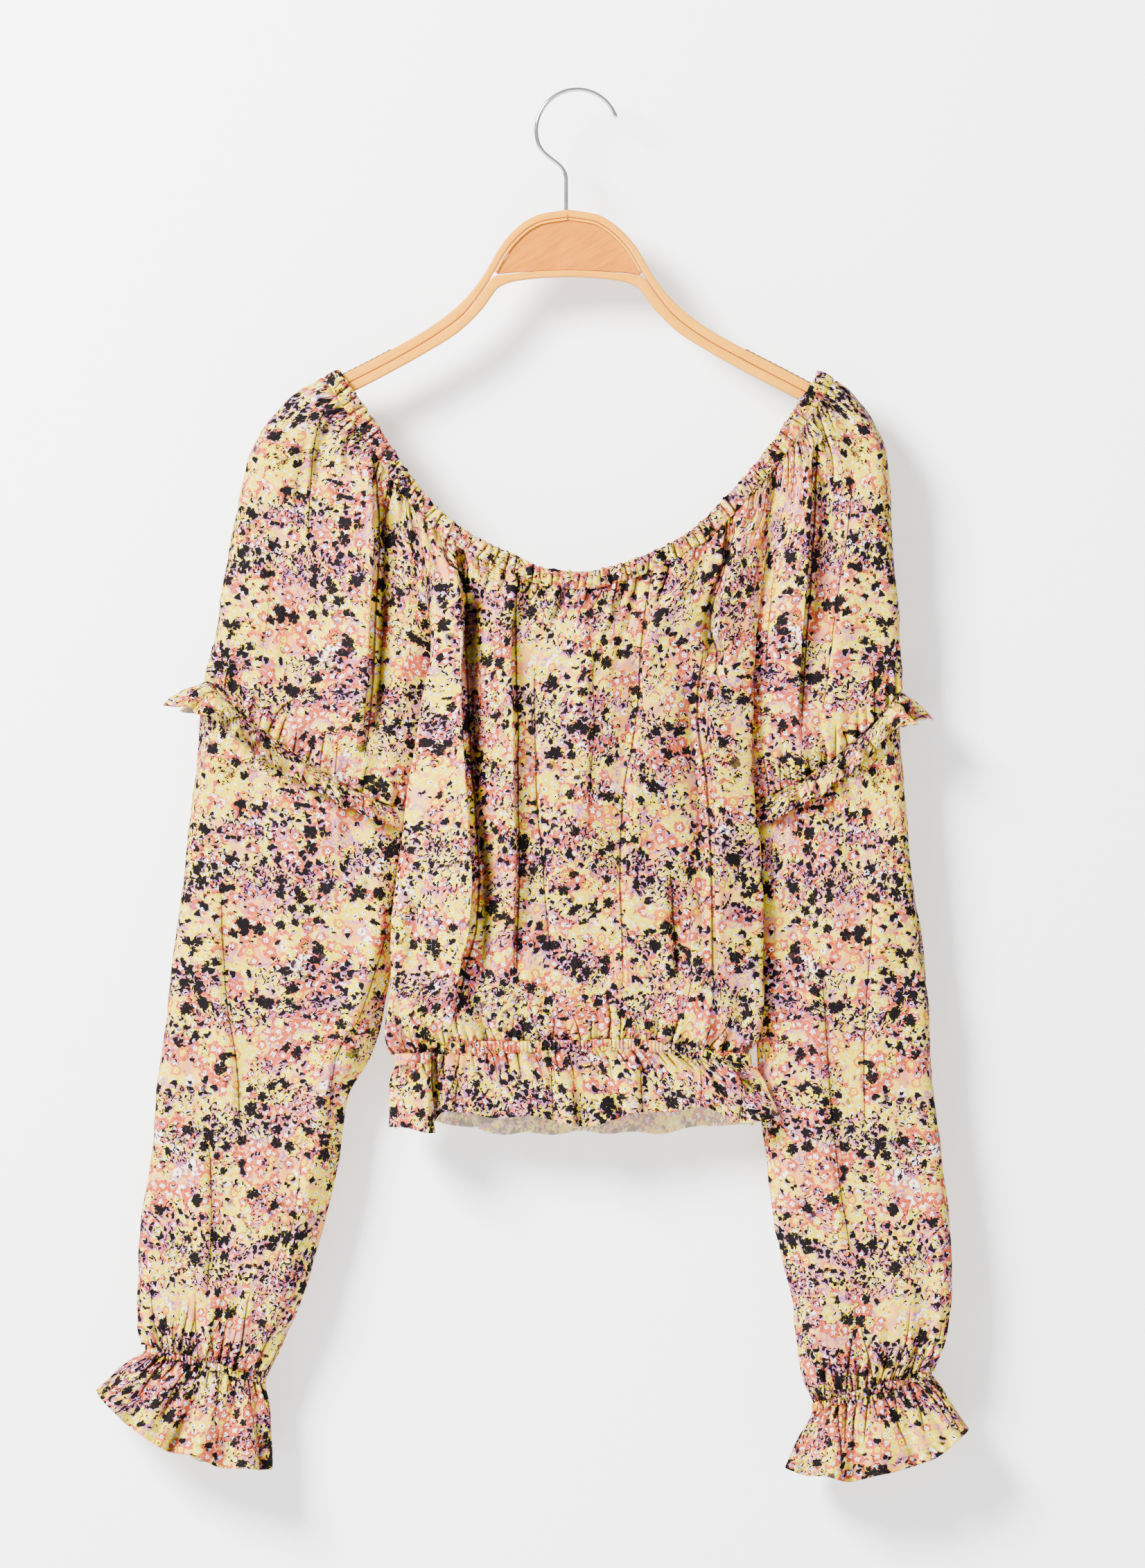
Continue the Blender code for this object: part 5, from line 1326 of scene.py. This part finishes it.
def strokes(board, at, cell, length, width, seed, share, patch=30.0, band=0.0):
    """A scatter of short brush strokes: narrow ovals turned by chance, in patches."""
    middle, local, (turn, curve, place) = scatter(board, at, cell, (seed * 11.7, seed * 5.3), 1.0)
    x, y, _ = board.parts(local)
    turn = turn * FULL_TURN
    cosine = board.cosine(turn)
    sine = board.maths("SINE", turn)
    along = x * cosine + y * sine
    bend = along * along * (curve - 0.5) * (2.2 / length)
    across = y * cosine - x * sine + bend
    oval = board.vectors("LENGTH", board.joined(along / length, across / width))
    place = place * 0.4 + board.noise(board.stretched(middle), patch, 1.0) * 1.9 - 0.65
    if band:
        place = place + board.cosine(board.parts(middle)[1] * (FULL_TURN / band)) * 0.10
    return board.step(oval, 1.05, 0.85) * board.step(place, share + 0.02, share - 0.02)


def printed(name, reverse):
    """The printed cloth: pale peach under lilac, white, coral, yellow and black flowers, with
    painted shade.
    """
    board = Board(name)
    ink = {key: hue(code) for key, code in PRINT.items()}
    flat = board.on_cloth(1 / PRINT_SCALE)
    wobble = [board.noise(place, 2.4) for place in (flat, board.moved(flat, 71.0, 33.0))]
    at = board.vectors("ADD", flat, board.joined(*[(part - 0.5) * 2.8 for part in wobble]))
    smudge = board.noise(at, 1.7)

    ground = board.step(board.noise(flat, 16.0, 3.0), 0.42, 0.60)
    board.colour = board.mix(ground, ink["peach"], ink["cream"])
    wash = board.step(board.noise(board.moved(flat, 44.0, 7.0), 12.0, 3.0), 0.52, 0.62)
    board.lay(wash * 0.6, ink["lilac_wash"])
    for row in BASE_STROKES:
        board.lay(strokes(board, at, *row, 24.0) * 0.9, ink["lilac"])

    marks = 0.0
    ragged = (board.noise(at, 0.9, 1.0) - 0.5) * 2.4
    for kind, seed, cell, size, share, patch in BLOOMS:
        reach, there, rays, far = blossoms(board, at, cell, size, 0.30, seed, share, patch)
        petals = board.step(reach, 1.05, 0.97) * there
        edge = board.step(board.size_of(reach - 1.06), 0.20, 0.10) * there
        if kind == "white":
            board.lay(petals, ink["white"])
            board.lay(board.step(far, 1.1, 0.8) * there, ink["coral_light"])
        elif kind == "yellow":
            tone = board.mix(board.step(smudge, 0.42, 0.6), ink["yellow_edge"], ink["yellow"])
            board.lay(petals, tone)
            vein = board.step(rays, 0.20, 0.06) * petals * board.step(far, 1.0, 1.6)
            board.lay(vein * 0.55, ink["ochre"])
            board.lay(board.step(far, 1.25, 0.95) * there, ink["white"])
        else:
            tone = board.mix(board.step(smudge, 0.42, 0.6), ink["coral"], ink["coral_light"])
            board.lay(petals, tone)
            board.lay(board.step(far / (rays + 0.75), 1.15, 0.9) * there, ink["white"])
        board.lay(board.step(far + ragged, 0.42, 0.30) * there, ink["black"])
        near = board.step(board.noise(board.moved(at, seed * 3.1, 0.0), 2.1, 1.0), 0.55, 0.60)
        marks = board.maths("MAXIMUM", marks, edge * near)
    _, there, _, far = blossoms(board, at, 13.0, 3.6, 0.12, 7, 0.30)
    for outer, inner, shade in ((3.5, 3.0, "halo"), (1.9, 1.6, "yellow"), (0.5, 0.35, "black")):
        board.lay(board.step(far, outer, inner) * there, ink[shade])

    patch = board.noise(board.stretched(board.moved(at, 5.0, 61.0)), 15.0)
    patch = patch + board.cosine(board.parts(flat)[1] * (FULL_TURN / BAND_REPEAT)) * 0.03
    board.lay(marks * board.step(patch, 0.51, 0.55), ink["black"])
    for place, shade, strength in ((board.moved(at, 0.9, -1.1), "lilac", 0.7), (at, "black", 1.0)):
        for row in STROKES:
            board.lay(strokes(board, place, *row, 15.0, BAND_REPEAT) * strength, ink[shade])
    cluster = board.step(patch, 0.475, 0.505)
    torn = (board.noise(at, 1.3) - 0.5) * 0.7
    for seed, cell, size, share in BLACK_BLOOMS:
        reach, there, rays, far = blossoms(board, at, cell, size, 0.34, seed, share)
        light = board.step(rays, 0.12, 0.04) * board.step(far, 0.9, 1.5)
        light = light * board.step(smudge, 0.45, 0.5)
        whole = board.step(reach + torn, 1.05, 0.97) * (there * cluster)
        board.lay(whole * (1 - light * 0.7), ink["black"])

    if reverse:
        board.lay(REVERSE_FADE, ink["reverse"])
    # Painted shade lines: a dark line at the foot of each crease, and a softer painted shade on one
    # side of it
    away, depth = [board.attribute(layer) for layer in SHADE_LINE_NAMES]
    line = board.step(board.size_of(away) / (depth * 0.75 + 0.25), 1.3, 0.3)
    line = line * board.step(depth, 0.04, 0.45)
    beside = board.step(away, -2.6, -0.2) * board.step(away, 1.2, 0.0) * depth * 0.45
    # All the painted shade, multiplied into the colour towards a dark brown, a quarter as strong on
    # the reverse
    painted_shade = 1 - (1 - board.attribute(SHADE_NAME)) * (1 - line * 0.85) * (1 - beside)
    made = board.node("Mix", {"data_type": "RGBA", "blend_type": "MULTIPLY"},
                      n0=painted_shade * (0.25 if reverse else 1.0), n6=board.colour, n7=ink["painted_shade"])
    weave = board.threads(flat, "X") + board.threads(flat, "Y")
    relief_height = weave * 0.12 + board.noise(flat, 2.6, 3.0)
    roughness = board.noise(flat, 6.0) * 0.10 + 0.76
    return board.finish(board.out(made, 2), roughness, relief_height, 0.35, 0.00035,
                        Specular_IOR_Level=CLOTH_GLOSS)


def wood(name, pale_and_dark, turn=None):
    """Wood with long grain: noise and fine dark pores drawn out along the grain, under varnish.

    The grain follows the piece's own run, or, where a turn is given, lies at that angle.
    """
    board = Board(name)
    if turn is None:
        at = board.on_cloth()
    else:
        x, y, z = board.parts(board.on_object())
        cosine, sine = math.cos(turn), math.sin(turn)
        at = board.joined(x * cosine + z * sine, z * cosine - x * sine, y)
    along, across, _ = board.parts(at)
    sway = board.noise(board.joined(along, across), 40.0)
    grain = board.noise(board.joined(along * 0.05, across * 0.9 + sway * 4.0), 1.0, 4.0)
    broad = board.noise(board.joined(along * 0.02, across * 0.25), 1.0, 3.0)
    pores = board.step(board.noise(board.joined(along * 0.12, across * 4.0), 1.0), 0.66, 0.74)
    pale, dark = (hue(code) for code in pale_and_dark)
    board.colour = board.mix(board.step(grain * 0.6 + broad * 0.4, 0.35, 0.66), dark, pale)
    board.lay(pores * 0.35, hue(WOOD["pore"]))
    return board.finish(board.colour, grain * 0.12 + 0.34, grain - pores * 0.6, 0.15, 0.0002,
                        Coat_Weight=0.06, Coat_Roughness=0.25, Specular_IOR_Level=0.12)


def bright_wire():
    """Polished wire, a little hazed."""
    board = Board("bright_wire")
    at = board.on_object()
    haze = board.noise(at, 6.0, 3.0, False)
    board.colour = board.mix(haze, hue("#C9CBCF"), hue("#E6E8EA"))
    return board.finish(board.colour, haze * 0.10 + 0.10, board.noise(at, 1.2, 2.0, False), 0.05,
                        0.0001, Metallic=1.0)


def ribbed_rubber():
    """The grips' dull rubber."""
    board = Board("ribbed_rubber")
    grime = board.noise(board.on_object(), 2.5, 3.0, False)
    board.colour = board.mix(grime, hue("#6A5C4C"), hue("#8E7C66"))
    return board.finish(board.colour, grime * 0.15 + 0.55, grime, 0.2, 0.0002)


def make_finishes():
    """Every finish of the blouse and the hanger, by name."""
    for made in (printed("print_cloth", False), printed("print_reverse", True),
                 wood("bow_wood", WOOD["strip"]), wood("panel_wood", WOOD["panel"], PANEL_GRAIN),
                 bright_wire(), ribbed_rubber()):
        FINISHES[made.name] = made


def bow_edge(away, which, below=0.0):
    """A point of the bow's top edge, or so far square below it."""
    sign = -1 if which == "left" else 1
    step = 0.5
    drop = read(BOW, "top_" + which, away)
    slope = (read(BOW, "top_" + which, away + step) - drop) / step
    size = np.hypot(1, slope)
    return BOW_MIDDLE + sign * (away - below * slope / size), drop + below / size


def rounded_section(half_wide, half_tall, radius, turns=5):
    """A rectangle with quarter-circle corners: their middles plus the radius times (cos, sin)."""
    quarter = np.repeat([45, 135, 225, 315], turns) * np.pi / 180
    angle = quarter + np.tile(np.linspace(-45, 45, turns), 4) * np.pi / 180
    radius = np.minimum(radius, np.minimum(half_wide, half_tall))
    wide = np.sign(np.cos(quarter)) * (half_wide - radius) + radius * np.cos(angle)
    tall = np.sign(np.sin(quarter)) * (half_tall - radius) + radius * np.sin(angle)
    return wide, tall


def strip(name, upper, lower, half_depth, radius=1.2):
    """A wooden strip between two lines of (x, drop): a rounded rectangle at each station.

    The section's long way is y, its short way runs from the lower line to the upper one. Its
    ends shrink to a point over three stations and are closed.
    """
    upper, lower = (np.pad(np.stack(line, axis=-1), ((2, 2), (0, 0)), mode="edge")
                    for line in (upper, lower))
    middle = 0.5 * (upper + lower)
    half = 0.5 * np.linalg.norm(upper - lower, axis=-1)[:, None]
    way = (upper - lower) / (2 * half)
    shrink = np.ones(len(half))
    shrink[[0, 1, -2, -1]] = (0.02, 0.9, 0.9, 0.02)
    wide, tall = rounded_section(half_depth, half, radius)
    wide = wide * shrink[:, None]
    tall = tall * shrink[:, None]
    x, drop = (middle[:, i:i + 1] + way[:, i:i + 1] * tall for i in (0, 1))
    points = np.stack([x, wide, -drop], axis=-1)
    run = run_down(middle[:, None]) * np.ones((1, wide.shape[1] + 1))
    tube(name, points, run_across(points, True), run, "hanger_bow", "bow_wood")


def tube(name, points, across, down, node, finish):
    """A closed sweep of rings, whose first and last rings are closed by one face each."""
    middle = points.mean(axis=1, keepdims=True)
    ring = np.roll(points, -1, axis=1) - points
    out = np.cross(np.gradient(points, axis=0), ring)
    obj = grid_mesh(name, points, True, down, across, np.sum(out * (points - middle)) < 0)
    shape = bmesh.new()
    shape.from_mesh(obj.data)
    bmesh.ops.holes_fill(shape, edges=shape.edges, sides=0)
    shape.to_mesh(obj.data)
    shape.free()
    obj.data.shade_smooth()
    obj.data.materials.append(FINISHES[finish])
    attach(obj, "root")
    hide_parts(node)


def both_arms(away, below):
    """A line along both arms, left end to right end, square below the bow's top edge."""
    below = below * np.ones_like(away)
    left = bow_edge(away, "left", below)
    right = bow_edge(away, "right", below)
    return [np.concatenate([a[:0:-1], b]) for a, b in zip(left, right)]


def end_round(past):
    """Share of a strip's height beside its end, as a quarter circle over the last 7 mm."""
    return np.sqrt(np.clip(1 - np.clip(past / 7.0, 0, 1) ** 2, 0, 1))


def make_bow():
    """The bow's laminations: the strip over the top, the arch's liner, the bar and lower strips."""
    half = 0.5 * BOW_THICKNESS
    away = np.concatenate([np.linspace(0, 100, 90), np.linspace(102, BOW_END, 60)])
    square = 1 / np.hypot(1, np.gradient(read(BOW, "top_left", away), away))
    tall = (read(BOW, "bottom", away) - read(BOW, "top_left", away)) * square
    upper_tall = blend(STRIP_TALL, 0.5 * tall, smoothstep((away - 56) / 30))
    top_line = blend(upper_tall - 0.5, 0.0, end_round(away - BOW_END + 6.5))
    strip("bow_upper_strip", both_arms(away, top_line), both_arms(away, upper_tall), half)

    arch = np.linspace(0, PANEL_ARCH_REACH - 1.0, 60)
    strip("bow_arch_liner", both_arms(arch, STRIP_TALL + STRIP_GAP),
          both_arms(arch, PANEL_BELOW_TOP), half - 0.4, 0.5)

    left, right = (bow_edge(PANEL_ARCH_REACH, which, PANEL_BELOW_TOP)
                   for which in ("left", "right"))
    reach = 0.5 * (right[0] - left[0])
    panel_end = 0.5 * (left[1] + right[1])
    lines = []
    for which, sign in (("left", -1), ("right", 1)):
        inner = np.linspace(0, reach, 50)
        inner_top = blend(PANEL_BOTTOM, panel_end, (inner / reach) ** 2)
        outer = away[away > PANEL_ARCH_REACH + 2]
        tall_at = np.interp(outer, away, upper_tall)
        outer_x, outer_drop = bow_edge(outer, which, tall_at + STRIP_GAP)
        top_x = np.concatenate([BOW_MIDDLE + sign * inner, outer_x])
        top_drop = np.concatenate([inner_top, outer_drop])
        from_middle = np.abs(top_x - BOW_MIDDLE)
        low = blend(top_drop + 0.5, read(BOW, "bottom", from_middle),
                    end_round(from_middle - BOW_END + 3.0))
        lines.append((top_x, top_drop, low))
    x, top, low = (np.concatenate([a[:0:-1], b]) for a, b in zip(*lines))
    strip("bow_lower_strip", (x, top), (x, low), half)


def hook_points():
    """The stem, a bend to the left, and an arc round the rail."""
    centre_drop = HOOK_RADIUS - WIRE_RADIUS
    angles = np.radians(np.linspace(HOOK_START_ANGLE, HOOK_END_ANGLE, 90))
    arc = np.stack([HOOK_RADIUS * np.cos(angles),
                    centre_drop - HOOK_RADIUS * np.sin(angles)], axis=-1)
    stem = np.linspace((HOOK_STEM_X, HOOK_STEM_FOOT), (HOOK_STEM_X, HOOK_STEM_TOP + 2), 8)
    t = np.linspace(0, 1, 40)[:, None]
    start = np.array([HOOK_STEM_X, HOOK_STEM_TOP])
    end = arc[0]
    swing = (1 - t) ** 3 * start + 3 * (1 - t) ** 2 * t * (start - (0, HOOK_BEND_PULL))
    swing = swing + 3 * (1 - t) * t ** 2 * (end + (HOOK_BEND_SHIFT, HOOK_BEND_PULL)) + t ** 3 * end
    return np.concatenate([stem, swing, arc[1:]])


def make_hook():
    """The hook: a round wire carried along its path, with a domed tip."""
    line = hook_points()
    ahead = (line[-1] - line[-2]) / np.linalg.norm(line[-1] - line[-2])
    tip = line[-1] + ahead * np.array([[0.5], [1.0], [1.35], [1.5]])
    path = np.concatenate([line[:1], line, tip])
    size = np.concatenate([[0.02], np.ones(len(line)), [0.94, 0.75, 0.45, 0.02]]) * WIRE_RADIUS
    way = np.gradient(path, axis=0)
    way /= np.maximum(np.linalg.norm(way, axis=-1, keepdims=True), 1e-9)
    way[0] = way[1]
    side = np.stack([way[:, 1], -way[:, 0]], axis=-1)
    angle = np.linspace(0, 2 * np.pi, WIRE_SIDES + 1)[:-1]
    spread = size[:, None] * np.cos(angle)
    points = np.stack([path[:, :1] + side[:, :1] * spread, size[:, None] * np.sin(angle),
                       -(path[:, 1:] + side[:, 1:] * spread)], axis=-1)
    run = run_down(path[:, None]) * np.ones((1, WIRE_SIDES + 1))
    tube("hook_wire", points, run_across(points, True), run, "hanger_hook", "bright_wire")


def make_hanger():
    """All of the hanger. The panel and the grips keep their own solids, with a finish."""
    make_bow()
    make_hook()
    for name, finish in (("hanger_panel", "panel_wood"), ("hanger_grip_left", "ribbed_rubber"),
                         ("hanger_grip_right", "ribbed_rubber")):
        for slot in bpy.data.objects[name].material_slots:
            slot.material = FINISHES[finish]


def plane(name, corners, seen_from_front=False):
    """A wall or floor of the studio: one face of paint, which the wall shows to its front only."""
    mesh = bpy.data.meshes.new(name)
    mesh.from_pydata(corners, [], [(0, 1, 2, 3)])
    obj = placed(name, mesh)
    board = Board(name + "_paint")
    glow = WALL_GLOW if seen_from_front else 0.0
    board.finish(hue(WALL_COLOUR), 0.9, Emission_Color=(0.965, 0.98, 1.0, 1.0),
                 Emission_Strength=glow)
    if seen_from_front:
        behind = board.out(board.node("NewGeometry"), "Backfacing")
        clear = board.out(board.node("BsdfTransparent"))
        made = board.node("MixShader", (), n0=behind, n1=board.out(board.surface), n2=clear)
        board.feed(board.tree.nodes["Material Output"].inputs["Surface"], board.out(made))
    mesh.materials.append(board.material)
    return obj


def light(name, place, size, power, colour=(1.0, 1.0, 1.0)):
    """A square soft light that faces the blouse."""
    lamp = bpy.data.lights.new(name, "AREA")
    lamp.size = size
    lamp.energy = power
    lamp.color = colour
    obj = placed(name, lamp)
    obj.location = place
    obj.rotation_euler = (Vector(LIGHT_AIM) - Vector(place)).to_track_quat("-Z", "Y").to_euler()
    return obj


def make_studio():
    """Pale wall and floor, one soft key light from the upper left, and the camera."""
    square = ((-1, 0), (1, 0), (1, 1), (-1, 1))
    wall = plane("studio_wall", [(4 * x, WALL_DEPTH, -1.6 + 4 * z) for x, z in square], True)
    wall.visible_shadow = False
    wall.visible_diffuse = False
    wall.visible_glossy = False
    plane("studio_floor", [(4 * x, -6 + 10 * y, FLOOR_HEIGHT) for x, y in square])
    light("key_light", KEY_PLACE, KEY_SIZE, KEY_POWER, (1.0, 0.985, 0.96))
    wash = light("wall_light", KEY_PLACE, KEY_SIZE, KEY_POWER * WALL_LIGHT)
    lit = bpy.data.collections.new("lit_wall")
    lit.objects.link(wall)
    wash.light_linking.receiver_collection = lit
    light("back_light", BACK_PLACE, BACK_SIZE, BACK_POWER)
    world = bpy.data.worlds.new("studio_air")
    world.use_nodes = True
    air = world.node_tree.nodes["Background"].inputs
    air["Color"].default_value = (0.93, 0.96, 1.0, 1.0)
    air["Strength"].default_value = AIR_LIGHT
    bpy.context.scene.world = world
    camera = placed("camera", bpy.data.cameras.new("camera"))
    camera.data.lens = 200
    camera.data.sensor_width = 36
    camera.data.clip_end = 40
    camera.location = CAMERA_PLACE
    camera.rotation_euler = (math.pi / 2, 0, 0)
    bpy.context.scene.camera = camera


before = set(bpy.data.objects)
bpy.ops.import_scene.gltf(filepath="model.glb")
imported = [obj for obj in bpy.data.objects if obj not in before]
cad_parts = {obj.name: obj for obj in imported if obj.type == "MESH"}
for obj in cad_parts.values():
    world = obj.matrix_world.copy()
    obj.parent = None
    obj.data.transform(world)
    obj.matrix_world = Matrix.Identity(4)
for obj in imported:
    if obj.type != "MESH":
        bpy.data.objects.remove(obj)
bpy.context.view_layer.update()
make_finishes()
body_cloth()
waist_cloth()
hem_cloth()
casing_cloth()
for which in ("left", "right"):
    sleeve_cloth(which)
    ruffle_cloth(which)
    cuff_cloth(which)
make_hanger()
make_studio()
